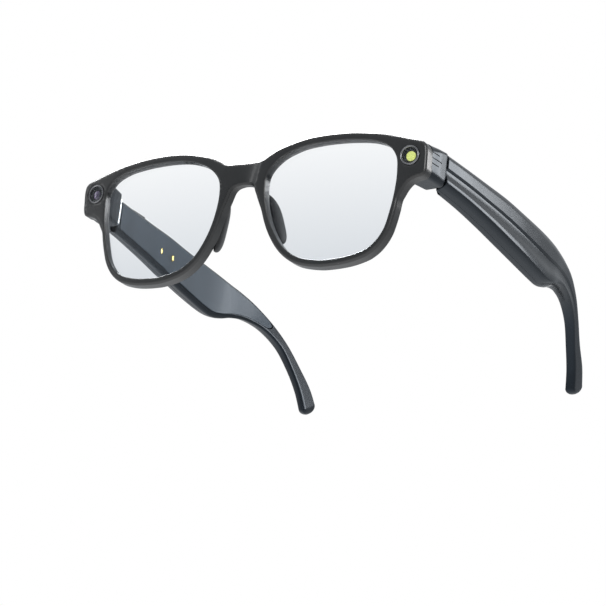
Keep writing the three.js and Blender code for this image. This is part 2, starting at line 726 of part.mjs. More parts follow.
/** The inner cover that closes the bay flush with the temple's inner face. */
function templeCover() {
  const cover = run(temple.bayStart + 0.003, temple.bayEnd - 0.004, (s, { height, half }) => [
    (rise) => -half(rise),
    (rise) => -half(rise) + temple.cover,
    temple.lip + gap,
    height - temple.lip - gap,
  ]);
  return cut(cover, hingeRoom()[0]);
}

/** Something inside the bay: shares along it, mm out from the cover, mm up from the bay's floor. */
function inBay(from, to, [out0, out1], [rise0, rise1]) {
  return run(from, to, (s, { half }) => [
    (rise) => -half(rise) + temple.cover + gap + out0,
    (rise) => -half(rise) + temple.cover + gap + out1,
    temple.lip + gap + rise0,
    temple.lip + gap + rise1,
  ]);
}

/** A charging contact: an oval stud through the cover. */
function chargeContact(index, grow = 0) {
  const s = contact.station;
  const { height, half, bottom } = templeAt(s);
  const rise = contact.rise;
  const [x, y, z] = spot(s, -half(rise), rise);
  const oval = new THREE.CylinderGeometry(1, 1, temple.cover + contact.proud + 0.5 * grow + 0.3, 18);
  oval.rotateZ(Math.PI / 2).scale(1, contact.rY + grow, contact.rZ + grow);
  return oval.translate(x + (temple.cover - contact.proud) / 2 + 0.15, y + index * contact.pitch, z);
}

/** The middle of the button and the height of the temple's top edge over it. */
function buttonPlace() {
  const { height } = templeAt(button.station);
  const [x, y, z] = spot(button.station, -0.1, height);
  return { x, y, z };
}

/** A round-ended bar lying along Y, between two heights. */
function bar({ x, y }, length, width, z0, z1) {
  const r = width / 2;
  const straight = length / 2 - r;
  const shape = new THREE.Shape();
  shape.absarc(x, -y - straight, r, Math.PI, 2 * Math.PI, false);
  shape.absarc(x, -y + straight, r, 0, Math.PI, false);
  shape.closePath();
  const geometry = new THREE.ExtrudeGeometry(shape, { depth: z1 - z0, bevelEnabled: false, curveSegments: 8 });
  return geometry.rotateX(Math.PI).translate(0, 0, z1);
}

/** The capture button: a cap in the temple's top wall with a flange below it. */
function captureButton() {
  const place = buttonPlace();
  const under = place.z - temple.lip - 2 * gap;
  const cap = bar(place, button.length, button.width, under - 0.1, place.z + button.proud);
  return join(cap, bar(place, button.length + 0.6, button.width + 0.6, under - button.flange, under));
}

/** The slot in the temple's top wall that guides the button. */
function buttonSlot() {
  const place = buttonPlace();
  return bar(place, button.length + 2 * gap, button.width + 2 * gap, place.z - 4, place.z + 4);
}

/** The switch under the button, clear of it by its travel. */
function buttonSwitch() {
  const { x, y, z } = buttonPlace();
  const top = z - temple.lip - 2 * gap - button.flange - button.travel - gap;
  return box([x - 0.9, y - 2, top - 1.4], [x + 0.9, y + 2, top]);
}

// ---------------------------------------------------------------- assembly
const finishes = {
  frame: { color: 0x3f3f40, roughness: 0.42 },
  temple: { color: 0x4a545e, roughness: 0.4 },
  cover: { color: 0x5d6872, roughness: 0.5 },
  lens: { color: 0xe6ebee, roughness: 0.03, transparent: true, opacity: 0.3 },
  pad: { color: 0x2a2a2c, roughness: 0.5 },
  trim: { color: 0x8c8c88, roughness: 0.25, metalness: 1 },
  dark: { color: 0x101012, roughness: 0.35 },
  window: { color: 0x202026, roughness: 0.02, transparent: true, opacity: 0.35 },
  optic: { color: 0x4a3048, roughness: 0.02 },
  emitter: { color: 0xe6ef8e, roughness: 0.5 },
  board: { color: 0x1f5a3a, roughness: 0.5 },
  copper: { color: 0xb9783a, roughness: 0.35, metalness: 0.6 },
  steel: { color: 0xc9ced2, roughness: 0.2, metalness: 1 },
  cell: { color: 0x9aa0a6, roughness: 0.4, metalness: 0.3 },
  gold: { color: 0xe3c878, roughness: 0.25, metalness: 1 },
};

const glasses = new THREE.Group();

/** Adds one named piece with its finish. */
function add(name, finish, geometry) {
  const material = new THREE.MeshStandardMaterial(finishes[finish]);
  const mesh = new THREE.Mesh(welded(geometry), material);
  mesh.name = name;
  glasses.add(mesh);
}

/** Adds a left piece and its mirror image on the right. */
function addPair(name, finish, geometry) {
  add(`${name}_left`, finish, geometry);
  add(`${name}_right`, finish, mirrored(geometry));
}

/** Adds the front, its lenses and nose pads. */
function addFront() {
  add('front_frame', 'frame', frontFrame());
  add('brow_cover', 'frame', browCover());
  add('front_flex_cable', 'copper', frontFlexCable());
  addPair('lens', 'lens', lensBody());
  addPair('nose_pad', 'pad', nosePad());
  addPair('endpiece', 'frame', endpiece());
}

/** Adds the lamp in the left lug and the camera in the right one. */
function addPorts() {
  add('lamp_trim_ring', 'trim', wrapped(trimRing()));
  add('lamp_window', 'window', wrapped(portDisc(ringInner - gap, 0.1, 0.7)));
  add('lamp_emitter', 'emitter', wrapped(portDisc(1.9, 1.5, 2.1, 22)));
  add('lamp_holder', 'dark', wrapped(lampHolder()));
  add('lamp_board', 'board', wrapped(portBoard(5.8)));
  add('camera_trim_ring', 'trim', mirrored(wrapped(trimRing())));
  add('camera_window', 'window', mirrored(wrapped(portDisc(ringInner - gap, 0.1, 0.7))));
  add('camera_lens_element', 'optic', mirrored(wrapped(cameraLensElement())));
  add('camera_barrel', 'dark', mirrored(wrapped(cameraBarrel())));
  add('camera_board', 'board', mirrored(wrapped(portBoard(6.2))));
}

/** Adds both hinges with their pins and screws. */
function addHinges() {
  addPair('frame_hinge_leaf', 'steel', frameHingeLeaf());
  addPair('temple_hinge_leaf', 'steel', templeHingeLeaf());
  addPair('hinge_pin', 'steel', hingePin());
  const [upper, lower] = leafScrewHeights();
  addPair('frame_leaf_screw_upper', 'steel', frameScrew(upper));
  addPair('frame_leaf_screw_lower', 'steel', frameScrew(lower));
  const [front, rear] = templeScrewPlaces();
  addPair('temple_leaf_screw_front', 'steel', templeScrew(...front));
  addPair('temple_leaf_screw_rear', 'steel', templeScrew(...rear));
}

/** Adds the temples' shells, covers and what both of them hold. */
function addTemples() {
  const shell = templeShell();
  const cover = templeCover();
  add('temple_shell_left', 'temple', shell);
  add('temple_shell_right', 'temple', mirrored(cut(shell, buttonSlot())));
  add('temple_cover_left', 'cover', cover);
  const contactHoles = [0, 1].map((index) => chargeContact(index, gap / 2));
  add('temple_cover_right', 'cover', mirrored(cut(cover, ...contactHoles)));
  addPair('tail_core', 'steel', tailCore());
  addPair('battery', 'cell', inBay(0.24, 0.41, [0, 2.1], [0.3, 11]));
  addPair('speaker', 'dark', inBay(0.43, 0.5, [0, 1.9], [0.5, 9]));
}

/** Adds the boards, contacts and button that only one temple has. */
function addElectronics() {
  add('power_board_left', 'board', inBay(0.095, 0.22, [0.6, 1.4], [0.5, 8]));
  add('main_board_right', 'board', mirrored(inBay(0.13, 0.22, [0.9, 1.7], [0.5, 8])));
  add('touch_board_right', 'board', mirrored(inBay(0.13, 0.22, [2.2, 2.6], [3, 10])));
  add('charge_contact_front', 'gold', mirrored(chargeContact(0)));
  add('charge_contact_rear', 'gold', mirrored(chargeContact(1)));
  add('button_switch', 'dark', mirrored(buttonSwitch()));
  add('capture_button', 'dark', mirrored(captureButton()));
}

addFront();
addPorts();
addHinges();
addTemples();
addElectronics();

// The origin is the middle of the glasses' footprint, on the surface they stand on.
const bounds = new THREE.Box3().setFromObject(glasses);
glasses.position.set(0, -(bounds.min.y + bounds.max.y) / 2, -bounds.min.z);

export default glasses;
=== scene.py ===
"""Smart glasses: the fine surfaces, finishes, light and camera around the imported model.

Each sub-assembly is a class. Sizes are millimetres in the glasses' own drawing, whose datum is the
middle of the front face's top plane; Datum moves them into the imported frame, in metres.
"""

import logging
import math
from dataclasses import dataclass, field
from enum import Enum
from typing import Callable, Sequence

import bmesh
import bpy
import numpy as np
from mathutils import Matrix, Vector, geometry


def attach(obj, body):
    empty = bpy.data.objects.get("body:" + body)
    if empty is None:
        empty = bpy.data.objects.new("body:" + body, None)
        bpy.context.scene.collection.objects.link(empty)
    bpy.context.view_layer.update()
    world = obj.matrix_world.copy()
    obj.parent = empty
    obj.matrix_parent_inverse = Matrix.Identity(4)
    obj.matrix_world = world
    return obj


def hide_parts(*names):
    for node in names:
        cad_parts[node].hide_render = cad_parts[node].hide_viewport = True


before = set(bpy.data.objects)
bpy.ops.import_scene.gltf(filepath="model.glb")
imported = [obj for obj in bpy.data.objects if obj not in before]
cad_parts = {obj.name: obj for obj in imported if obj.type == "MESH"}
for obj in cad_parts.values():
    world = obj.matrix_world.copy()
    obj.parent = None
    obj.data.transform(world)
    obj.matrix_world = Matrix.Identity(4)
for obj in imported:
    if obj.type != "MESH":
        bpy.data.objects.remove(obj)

LOG = logging.getLogger("glasses")
MM = 0.001
Point2 = tuple[float, float]
Point3 = tuple[float, float, float]


class Side(Enum):
    """The wearer's side that a piece belongs to."""

    LEFT = 1
    RIGHT = -1

    @property
    def word(self) -> str:
        """The side as it stands in node names."""
        return self.name.lower()

    @property
    def body(self) -> str:
        """The moving body of this side's temple."""
        return f"{self.word}_temple"


# ------------------------------------------------------------------------------ finishes
def linear(code: str, alpha: float = 1.0) -> tuple[float, float, float, float]:
    """Turns an sRGB hex colour into linear light.

    Args:
        code: Six hex digits.
        alpha: Opacity that goes with the colour.

    Returns:
        Red, green, blue and alpha, linear.
    """
    parts = [int(code[i:i + 2], 16) / 255 for i in (0, 2, 4)]
    red, green, blue = [p / 12.92 if p <= 0.04045 else ((p + 0.055) / 1.055) ** 2.4 for p in parts]
    return red, green, blue, alpha


def put(tree: bpy.types.NodeTree, kind: str, settings: dict | None = None,
        inputs: dict | None = None) -> bpy.types.Node:
    """Adds one node, sets it up and links its inputs.

    Args:
        tree: The node tree.
        kind: The node's type name.
        settings: Properties of the node.
        inputs: Socket name or number to a value, or to an output socket that it is linked from.

    Returns:
        The new node.
    """
    made = tree.nodes.new(kind)
    for name, value in (settings or {}).items():
        setattr(made, name, value)
    for name, value in (inputs or {}).items():
        if isinstance(value, bpy.types.NodeSocket):
            tree.links.new(value, made.inputs[name])
        else:
            made.inputs[name].default_value = value
    return made


def blank(name: str) -> tuple[bpy.types.Material, bpy.types.NodeTree]:
    """Makes an empty material.

    Args:
        name: The material's name.

    Returns:
        The material and its node tree.
    """
    material = bpy.data.materials.new(name)
    material.use_nodes = True
    material.node_tree.nodes.clear()
    return material, material.node_tree


def ramp(tree: bpy.types.NodeTree, factor: bpy.types.NodeSocket,
         stops: Sequence[tuple[float, tuple[float, float, float, float]]]) -> bpy.types.NodeSocket:
    """Maps a factor to colours.

    Args:
        tree: The node tree.
        factor: The driving value.
        stops: Places from 0 to 1 with their colours.

    Returns:
        The colour output.
    """
    made = put(tree, "ShaderNodeValToRGB", inputs={"Fac": factor})
    elements = made.color_ramp.elements
    while len(elements) < len(stops):
        elements.new(0.5)
    for element, (place, colour) in zip(elements, stops):
        element.position = place
        element.color = colour
    return made.outputs["Color"]


@dataclass(frozen=True)
class MouldedNylon:
    """Glass-filled nylon, moulded and lacquered satin: it has a soft, even gloss.

    The lacquer may be a pearl one, which reflects strongly and colours what it reflects.
    """

    name: str
    base: str
    worn: str
    roughness: float
    # The mould's grain is too fine to show, so what is left of it is drawn coarser and almost flat.
    grain_mm: float = 0.7
    grain_depth: float = 0.0004
    coat: float = 0.12
    pearl: str = "ffffff"
    ior: float = 1.5

    def build(self) -> bpy.types.Material:
        """Makes the material.

        Returns:
            The material.
        """
        material, tree = blank(self.name)
        place = put(tree, "ShaderNodeTexCoord").outputs["Object"]
        cloud = put(tree, "ShaderNodeTexNoise", inputs={
            "Vector": place, "Scale": 1 / (14 * MM), "Detail": 3.0, "Roughness": 0.55})
        grain = put(tree, "ShaderNodeTexNoise", inputs={
            "Vector": place, "Scale": 1 / (self.grain_mm * MM * 2), "Detail": 2.0, "Roughness": 0.6})
        colour = ramp(tree, cloud.outputs["Fac"], [(0.35, linear(self.base)), (0.72, linear(self.worn))])
        rough = put(tree, "ShaderNodeMapRange", inputs={
            "Value": cloud.outputs["Fac"], "From Min": 0.3, "From Max": 0.7,
            "To Min": self.roughness - 0.03, "To Max": self.roughness + 0.04})
        bump = put(tree, "ShaderNodeBump", inputs={
            "Height": grain.outputs["Fac"], "Strength": self.grain_depth, "Distance": self.grain_mm * MM})
        shader = put(tree, "ShaderNodeBsdfPrincipled", inputs={
            "Base Color": colour, "Roughness": rough.outputs["Result"], "Normal": bump.outputs["Normal"],
            "IOR": self.ior, "Specular Tint": linear(self.pearl), "Coat Weight": self.coat,
            "Coat Roughness": 0.14})
        put(tree, "ShaderNodeOutputMaterial", inputs={"Surface": shader.outputs["BSDF"]})
        return material


@dataclass(frozen=True)
class PolishedPlastic:
    """Black acrylic or polycarbonate from a polished mould: mirror-like skin over a deep black."""

    name: str
    base: str
    roughness: float = 0.08

    def build(self) -> bpy.types.Material:
        """Makes the material.

        Returns:
            The material.
        """
        material, tree = blank(self.name)
        place = put(tree, "ShaderNodeTexCoord").outputs["Object"]
        smear = put(tree, "ShaderNodeTexNoise", inputs={
            "Vector": place, "Scale": 1 / (6 * MM), "Detail": 4.0, "Roughness": 0.6})
        rough = put(tree, "ShaderNodeMapRange", inputs={
            "Value": smear.outputs["Fac"], "From Min": 0.3, "From Max": 0.7,
            "To Min": self.roughness, "To Max": self.roughness + 0.05})
        shader = put(tree, "ShaderNodeBsdfPrincipled", inputs={
            "Base Color": linear(self.base), "Roughness": rough.outputs["Result"], "IOR": 1.5})
        put(tree, "ShaderNodeOutputMaterial", inputs={"Surface": shader.outputs["BSDF"]})
        return material


@dataclass(frozen=True)
class ClearLens:
    """Hard-coated polycarbonate lens: clear, with a faint cool tint; its greying towards the foot is painted
    shade.
    """

    name: str
    top: str
    foot: str
    low_mm: float
    high_mm: float

    def build(self) -> bpy.types.Material:
        """Makes the material.

        Returns:
            The material.
        """
        material, tree = blank(self.name)
        place = put(tree, "ShaderNodeTexCoord").outputs["Object"]
        height = put(tree, "ShaderNodeSeparateXYZ", inputs={"Vector": place})
        share = put(tree, "ShaderNodeMapRange", inputs={
            "Value": height.outputs["Z"], "From Min": self.low_mm * MM, "From Max": self.high_mm * MM})
        # Painted shade: the tint greys from the top colour to the darker foot colour going downwards.
        tint = ramp(tree, share.outputs["Result"], [(0.0, linear(self.foot)), (1.0, linear(self.top))])
        shader = put(tree, "ShaderNodeBsdfPrincipled", inputs={
            "Base Color": tint, "Roughness": 0.0, "IOR": 1.35, "Transmission Weight": 1.0})
        put(tree, "ShaderNodeOutputMaterial", inputs={"Surface": shader.outputs["BSDF"]})
        return material


@dataclass(frozen=True)
class TurnedMetal:
    """Metal finished on a lathe or by drawing: fine parallel lines that stretch its highlights."""

    name: str
    base: str
    roughness: float
    line_mm: float = 0.05
    axis: Point3 = (0.0, 0.0, 1.0)

    def build(self) -> bpy.types.Material:
        """Makes the material; the lines are drawn three times too coarse so that they show.

        Returns:
            The material.
        """
        material, tree = blank(self.name)
        place = put(tree, "ShaderNodeTexCoord").outputs["Object"]
        per_line = 1 / (self.line_mm * 3 * MM)
        stretched = put(tree, "ShaderNodeMapping", inputs={
            "Vector": place, "Scale": tuple(per_line * (0.02 + 0.98 * a) for a in self.axis)})
        lines = put(tree, "ShaderNodeTexNoise", inputs={
            "Vector": stretched.outputs["Vector"], "Scale": 1.0, "Detail": 2.0})
        rough = put(tree, "ShaderNodeMapRange", inputs={
            "Value": lines.outputs["Fac"], "From Min": 0.3, "From Max": 0.7,
            "To Min": self.roughness * 0.8, "To Max": self.roughness * 1.25})
        bump = put(tree, "ShaderNodeBump", inputs={
            "Height": lines.outputs["Fac"], "Strength": 0.08, "Distance": self.line_mm * MM})
        shader = put(tree, "ShaderNodeBsdfPrincipled", inputs={
            "Base Color": linear(self.base), "Metallic": 1.0, "Roughness": rough.outputs["Result"],
            "Normal": bump.outputs["Normal"]})
        put(tree, "ShaderNodeOutputMaterial", inputs={"Surface": shader.outputs["BSDF"]})
        return material


@dataclass(frozen=True)
class CoatedOptic:
    """A camera's front element: dark glass with an anti-reflection coating, whose purple reflection is
    painted in as colour that grows towards the rim.
    """

    name: str
    core: str
    rim: str

    def build(self) -> bpy.types.Material:
        """Makes the material.

        Returns:
            The material.
        """
        material, tree = blank(self.name)
        # Painted reflection: the coating's purple is set in the base colour, rising from the core colour to
        # the rim colour as the surface turns away from view.
        facing = put(tree, "ShaderNodeLayerWeight", inputs={"Blend": 0.35})
        colour = ramp(tree, facing.outputs["Facing"], [(0.05, linear(self.core)), (0.6, linear(self.rim))])
        shader = put(tree, "ShaderNodeBsdfPrincipled", inputs={
            "Base Color": colour, "Roughness": 0.03, "IOR": 1.8, "Coat Weight": 1.0, "Coat Roughness": 0.02})
        put(tree, "ShaderNodeOutputMaterial", inputs={"Surface": shader.outputs["BSDF"]})
        return material


@dataclass(frozen=True)
class LampPhosphor:
    """The lamp's emitter: yellow phosphor cast in silicone over a small chip, softly cloudy, with a faint
    painted glow that brightens its yellow.
    """

    name: str
    base: str
    edge: str

    def build(self) -> bpy.types.Material:
        """Makes the material.

        Returns:
            The material.
        """
        material, tree = blank(self.name)
        place = put(tree, "ShaderNodeTexCoord").outputs["Object"]
        cells = put(tree, "ShaderNodeTexVoronoi", inputs={"Vector": place, "Scale": 1 / (0.35 * MM)})
        colour = ramp(tree, cells.outputs["Distance"], [(0.1, linear(self.base)), (0.8, linear(self.edge))])
        # The emission is a painted glow that brightens the phosphor's own yellow.
        shader = put(tree, "ShaderNodeBsdfPrincipled", inputs={
            "Base Color": colour, "Roughness": 0.4, "IOR": 1.41, "Subsurface Weight": 0.3,
            "Subsurface Radius": (0.001, 0.001, 0.0004), "Emission Color": linear(self.base),
            "Emission Strength": 0.8})
        put(tree, "ShaderNodeOutputMaterial", inputs={"Surface": shader.outputs["BSDF"]})
        return material


@dataclass(frozen=True)
class Elastomer:
    """Soft silicone moulding: matt, slightly sheeny, with a faint mould mottling."""

    name: str
    base: str
    lift: str

    def build(self) -> bpy.types.Material:
        """Makes the material.

        Returns:
            The material.
        """
        material, tree = blank(self.name)
        place = put(tree, "ShaderNodeTexCoord").outputs["Object"]
        mottle = put(tree, "ShaderNodeTexNoise", inputs={
            "Vector": place, "Scale": 1 / (0.5 * MM), "Detail": 3.0})
        colour = ramp(tree, mottle.outputs["Fac"], [(0.3, linear(self.base)), (0.8, linear(self.lift))])
        bump = put(tree, "ShaderNodeBump", inputs={
            "Height": mottle.outputs["Fac"], "Strength": 0.1, "Distance": 0.00005})
        shader = put(tree, "ShaderNodeBsdfPrincipled", inputs={
            "Base Color": colour, "Roughness": 0.42, "IOR": 1.43, "Normal": bump.outputs["Normal"],
            "Sheen Weight": 0.15, "Sheen Roughness": 0.4})
        put(tree, "ShaderNodeOutputMaterial", inputs={"Surface": shader.outputs["BSDF"]})
        return material


@dataclass(frozen=True)
class CircuitBoard:
    """Glass-epoxy board under green solder mask, with pale pads on a 1.6 mm grid."""

    name: str
    mask: str
    pads: str
    pitch_mm: float = 1.6

    def build(self) -> bpy.types.Material:
        """Makes the material.

        Returns:
            The material.
        """
        material, tree = blank(self.name)
        place = put(tree, "ShaderNodeTexCoord").outputs["Object"]
        tiles = put(tree, "ShaderNodeTexBrick", {"offset": 0.5}, {
            "Vector": place, "Color1": linear(self.pads), "Color2": linear(self.mask),
            "Mortar": linear(self.mask), "Scale": 1 / (self.pitch_mm * 4 * MM), "Mortar Size": 0.06})
        shader = put(tree, "ShaderNodeBsdfPrincipled", inputs={
            "Base Color": tiles.outputs["Color"], "Roughness": 0.35, "IOR": 1.55})
        put(tree, "ShaderNodeOutputMaterial", inputs={"Surface": shader.outputs["BSDF"]})
        return material


def finishes() -> dict[str, bpy.types.Material]:
    """Makes every finish once, under the record's slot names."""
    kinds = [
        MouldedNylon("frame_nylon", "181818", "1f1f1f", 0.3, coat=0.35),
        MouldedNylon("temple_nylon", "0a0c0e", "101317", 0.22, coat=0.05, pearl="b4c6d8", ior=1.5),
        MouldedNylon("cover_nylon", "252d35", "303942", 0.36, coat=0.1, pearl="b4c6d8", ior=1.6),
        ClearLens("lens_clear", "f7f9fb", "dbe0e5", 2.0, 44.0),
        Elastomer("pad_rubber", "141415", "1d1d1f"),
        TurnedMetal("trim_metal", "8a8a8c", 0.24, axis=(0.0, 1.0, 0.0)),
        PolishedPlastic("black_plastic", "08080a"),
        ClearLens("port_window", "e9ecef", "dfe3e6", 30.0, 46.0),
        CoatedOptic("coated_optic", "3a1f45", "9a62b0"),
        LampPhosphor("lamp_phosphor", "e9f08c", "c9cf60"),
        CircuitBoard("circuit_board", "1c5236", "b9a66a"),
        TurnedMetal("flex_copper", "b9783a", 0.35),
        TurnedMetal("hinge_steel", "cdd2d6", 0.18),
        TurnedMetal("battery_foil", "a3a8ad", 0.38),
        TurnedMetal("contact_gold", "e6cf86", 0.22),
    ]
    return {kind.name: kind.build() for kind in kinds}


FINISH = finishes()


# ------------------------------------------------------------------------------ driving sizes
@dataclass(frozen=True)
class Datum:
    """Where the drawing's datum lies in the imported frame, in mm."""

    y: float = -77.2979
    z: float = 37.0346


@dataclass(frozen=True)
class Sizes:
    """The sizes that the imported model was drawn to, in mm."""

    gap: float = 0.3
    lens_width: float = 51.8
    lens_height: float = 43.05
    lens_top: float = 8.45
    lens_setback: float = 2.3
    lens_thickness: float = 1.6
    rim_top: float = 2.95
    rim_side: float = 1.9
    rim_bottom: float = 2.4
    rim_nose: float = 2.3
    rim_depth: float = 4.2
    bridge_gap: float = 19.2
    bridge_top: float = 4.55
    bridge_arch: float = -3.5
    wrap: float = 0.00083
    tilt: float = 0.092
    lug_reach: float = 10.9
    lug_top: float = 6.5
    lug_bottom: float = -7.3
    port_inset: float = 6.2
    port_height: float = 0.76
    ring_radius: float = 3.54
    ring_wall: float = 0.62
    ring_proud: float = 0.35
    hinge_x: float = 67.2
    hinge_y: float = 19.6
    hinge_z: float = 0.15
    hinge_height: float = 9.5
    seam: float = 18.2
    temple_length: float = 136.8
    cover: float = 1.0
    lip: float = 1.3
    bay_start: float = 0.028
    bay_end: float = 0.72

    @property
    def nose_x(self) -> float:
        """Half the distance between the lenses."""
        return self.bridge_gap / 2

    @property
    def lens_outer(self) -> float:
        """The outer end of a lens opening."""
        return self.nose_x + self.lens_width

    @property
    def half_width(self) -> float:
        """Half the width of the front."""
        return self.lens_outer + self.lug_reach

    @property
    def port_x(self) -> float:
        """The port's distance from the middle."""
        return self.half_width - self.port_inset


S = Sizes()
DATUM = Datum()


# ------------------------------------------------------------------------------ shapes
def spline(points: Sequence[Sequence[float]], count: int, closed: bool = False) -> np.ndarray:
    """A centripetal curve through points.

    Args:
        points: The points it passes through.
        count: How many steps to take along it.
        closed: Whether it runs back to its start.

    Returns:
        The points of the curve; count of them when closed, else one more.
    """
    p = np.array(points, dtype=float)
    total = len(p) if closed else len(p) - 1
    if closed:
        p = np.vstack([p[-1], p, p[0], p[1]])
    else:
        p = np.vstack([2 * p[0] - p[1], p, 2 * p[-1] - p[-2]])
    steps = np.arange(count) if closed else np.arange(count + 1)
    found = []
    for t in steps * total / count:
        low = min(int(t), total - 1)
        a, b, c, d = p[low:low + 4]
        ab, bc, cd = [max(np.linalg.norm(q - r), 1e-9) ** 0.5 for q, r in ((b, a), (c, b), (d, c))]
        start = ((b - a) / ab - (c - a) / (ab + bc) + (c - b) / bc) * bc
        end = ((c - b) / bc - (d - b) / (bc + cd) + (d - c) / cd) * bc
        u = t - low
        found.append((2 * u ** 3 - 3 * u ** 2 + 1) * b + (u ** 3 - 2 * u ** 2 + u) * start
                     + (-2 * u ** 3 + 3 * u ** 2) * c + (u ** 3 - u ** 2) * end)
    return np.array(found)


def easing(value: float, start: float, end: float) -> float:
    """Rises smoothly from 0 to 1 between two values."""
    t = min(max((value - start) / (end - start), 0.0), 1.0)
    return t * t * (3 - 2 * t)


def normals(loop: np.ndarray) -> np.ndarray:
    """Unit normals of a closed plane loop, to the right of its direction of travel.

    Args:
        loop: The closed loop.

    Returns:
        One unit normal for each point.
    """
    along = np.roll(loop, -1, axis=0) - np.roll(loop, 1, axis=0)
    along /= np.linalg.norm(along, axis=1)[:, None]
    return np.stack([along[:, 1], -along[:, 0]], axis=1)


def area(loop: np.ndarray) -> float:
    """Signed area of a closed plane loop, positive when it runs anticlockwise."""
    x, z = loop[:, 0], loop[:, 1]
    return 0.5 * float(np.sum(x * np.roll(z, -1) - np.roll(x, -1) * z))


def moved_out(loop: np.ndarray, distance: float) -> np.ndarray:
    """A closed loop moved outwards, or inwards when the distance is negative."""
    side = 1 if area(loop) > 0 else -1
    return loop + normals(loop) * side * distance


def inside(points: np.ndarray, loop: np.ndarray) -> np.ndarray:
    """Which points lie inside a closed loop.

    Args:
        points: The points to test.
        loop: The closed loop.

    Returns:
        True for each point inside.
    """
    x, z = points[:, 0][:, None], points[:, 1][:, None]
    x0, z0 = loop[:, 0][None], loop[:, 1][None]
    x1, z1 = np.roll(loop, -1, axis=0)[:, 0][None], np.roll(loop, -1, axis=0)[:, 1][None]
    crosses = ((z0 > z) != (z1 > z)) & (x < (x1 - x0) * (z - z0) / np.where(z1 == z0, 1e-12, z1 - z0) + x0)
    return crosses.sum(axis=1) % 2 == 1


def filleted(points: Sequence[Sequence[float]], radii: Sequence[float], steps: int = 3) -> list[Point2]:
    """A closed polygon with its corners rounded.

    Args:
        points: The corners.
        radii: How far each rounding reaches along the two sides at a corner.
        steps: Steps in each rounding.

    Returns:
        The rounded loop.
    """
    p = [np.array(q, dtype=float) for q in points]
    out: list[Point2] = []
    for i, corner in enumerate(p):
        before, after = p[i - 1] - corner, p[(i + 1) % len(p)] - corner
        lengths = [np.linalg.norm(v) for v in (before, after)]
        reach = [min(radii[i], 0.46 * length) / max(length, 1e-9) for length in lengths]
        start, end = corner + before * reach[0], corner + after * reach[1]
        for k in range(steps + 1):
            t = k / steps
            q = start * (1 - t) ** 2 + corner * 2 * t * (1 - t) + end * t ** 2
            out.append((float(q[0]), float(q[1])))
    return out


@dataclass
class Surface:
    """Points in mm and faces, gathered piece by piece before they become a mesh."""

    points: list[Point3] = field(default_factory=list)
    faces: list[tuple[int, ...]] = field(default_factory=list)

    def add(self, points: Sequence[Sequence[float]], faces: Sequence[Sequence[int]]) -> "Surface":
        """Adds points with faces that count from the first of them.

        Args:
            points: The points in mm.
            faces: Faces, counting from the first of these points.

        Returns:
            This surface.
        """
        start = len(self.points)
        self.points.extend(tuple(float(v) for v in p) for p in points)
        self.faces.extend(tuple(start + i for i in f) for f in faces)
        return self

    def loft(self, loops: Sequence[Sequence[Point3]], caps: bool = True, around: bool = False) -> "Surface":
        """Joins loops of equal length by faces.

        Args:
            loops: The loops in order.
            caps: Whether to close the two ends.
            around: Whether the last loop also joins the first.

        Returns:
            This surface.
        """
        n = len(loops[0])
        rows = len(loops)
        faces = []
        for r in range(rows if around else rows - 1):
            s = (r + 1) % rows
            faces += [(r * n + i, r * n + (i + 1) % n, s * n + (i + 1) % n, s * n + i) for i in range(n)]
        if caps and not around:
            faces += [tuple(range(n))[::-1], tuple((rows - 1) * n + i for i in range(n))]
        return self.add([p for loop in loops for p in loop], faces)

    def shaped(self, change: Callable[[float, float, float], Point3]) -> "Surface":
        """Moves every point by a rule."""
        self.points = [change(*p) for p in self.points]
        return self


def wrap(x: float, y: float, z: float) -> Point3:
    """Bends a point of the flat front to the face's curve and lean."""
    return x, y + S.wrap * x * x - S.tilt * z, z


def turned(profile: Sequence[Point2], x: float, z: float, sides: int = 72) -> Surface:
    """A body turned about an axis along Y.

    Args:
        profile: Radius and depth pairs, round the section; closed back to the first.
        x: The axis's x.
        z: The axis's z.
        sides: Steps round the axis.

    Returns:
        The surface, bent with the front.
    """
    loops = []
    for k in range(sides):
        c, s = math.cos(2 * math.pi * k / sides), math.sin(2 * math.pi * k / sides)
        loops.append([(x + r * c, y, z + r * s) for r, y in profile])
    return Surface().loft(loops, around=True).shaped(wrap)


def box(lo: Point3, hi: Point3) -> Surface:
    """A plain block between two corners, used only to cut with.

    Args:
        lo: The lower corner in mm.
        hi: The upper corner in mm.

    Returns:
        The block.
    """
    x0, y0, z0 = lo
    x1, y1, z1 = hi
    loops = [[(x0, y, z0), (x1, y, z0), (x1, y, z1), (x0, y, z1)] for y in (y0, y1)]
    return Surface().loft(loops)


def link(name: str, mesh: bpy.types.Mesh) -> bpy.types.Object:
    """Puts a mesh in the scene as an object at the origin.

    Args:
        name: The object's name.
        mesh: Its mesh.

    Returns:
        The object.
    """
    made = bpy.data.objects.new(name, mesh)
    bpy.context.scene.collection.objects.link(made)
    return made


def solid(name: str, surface: Surface, side: Side = Side.LEFT) -> bpy.types.Object:
    """Turns a surface drawn for the left side into a closed, outward-facing object in the frame.

    Args:
        name: The object's name.
        surface: The surface in mm.
        side: The side it is wanted for.

    Returns:
        The object.
    """
    mesh = bpy.data.meshes.new(name)
    points = [(side.value * x * MM, (y + DATUM.y) * MM, (z + DATUM.z) * MM) for x, y, z in surface.points]
    mesh.from_pydata(points, [], surface.faces)
    work = bmesh.new()
    work.from_mesh(mesh)
    bmesh.ops.remove_doubles(work, verts=work.verts, dist=2e-6)
    bmesh.ops.dissolve_degenerate(work, edges=work.edges, dist=1e-7)
    bmesh.ops.recalc_face_normals(work, faces=work.faces)
    work.to_mesh(mesh)
    work.free()
    return link(name, mesh)


def cut(target: bpy.types.Object, tools: Sequence[bpy.types.Object]) -> None:
    """Takes closed objects out of another and removes them.

    Args:
        target: The object that is cut.
        tools: Closed objects to take out of it.
    """
    for tool in tools:
        knife = target.modifiers.new("cut", "BOOLEAN")
        knife.operation = "DIFFERENCE"
        knife.solver = "EXACT"
        knife.object = tool
    settle(target)
    for tool in tools:
        bpy.data.objects.remove(tool, do_unlink=True)


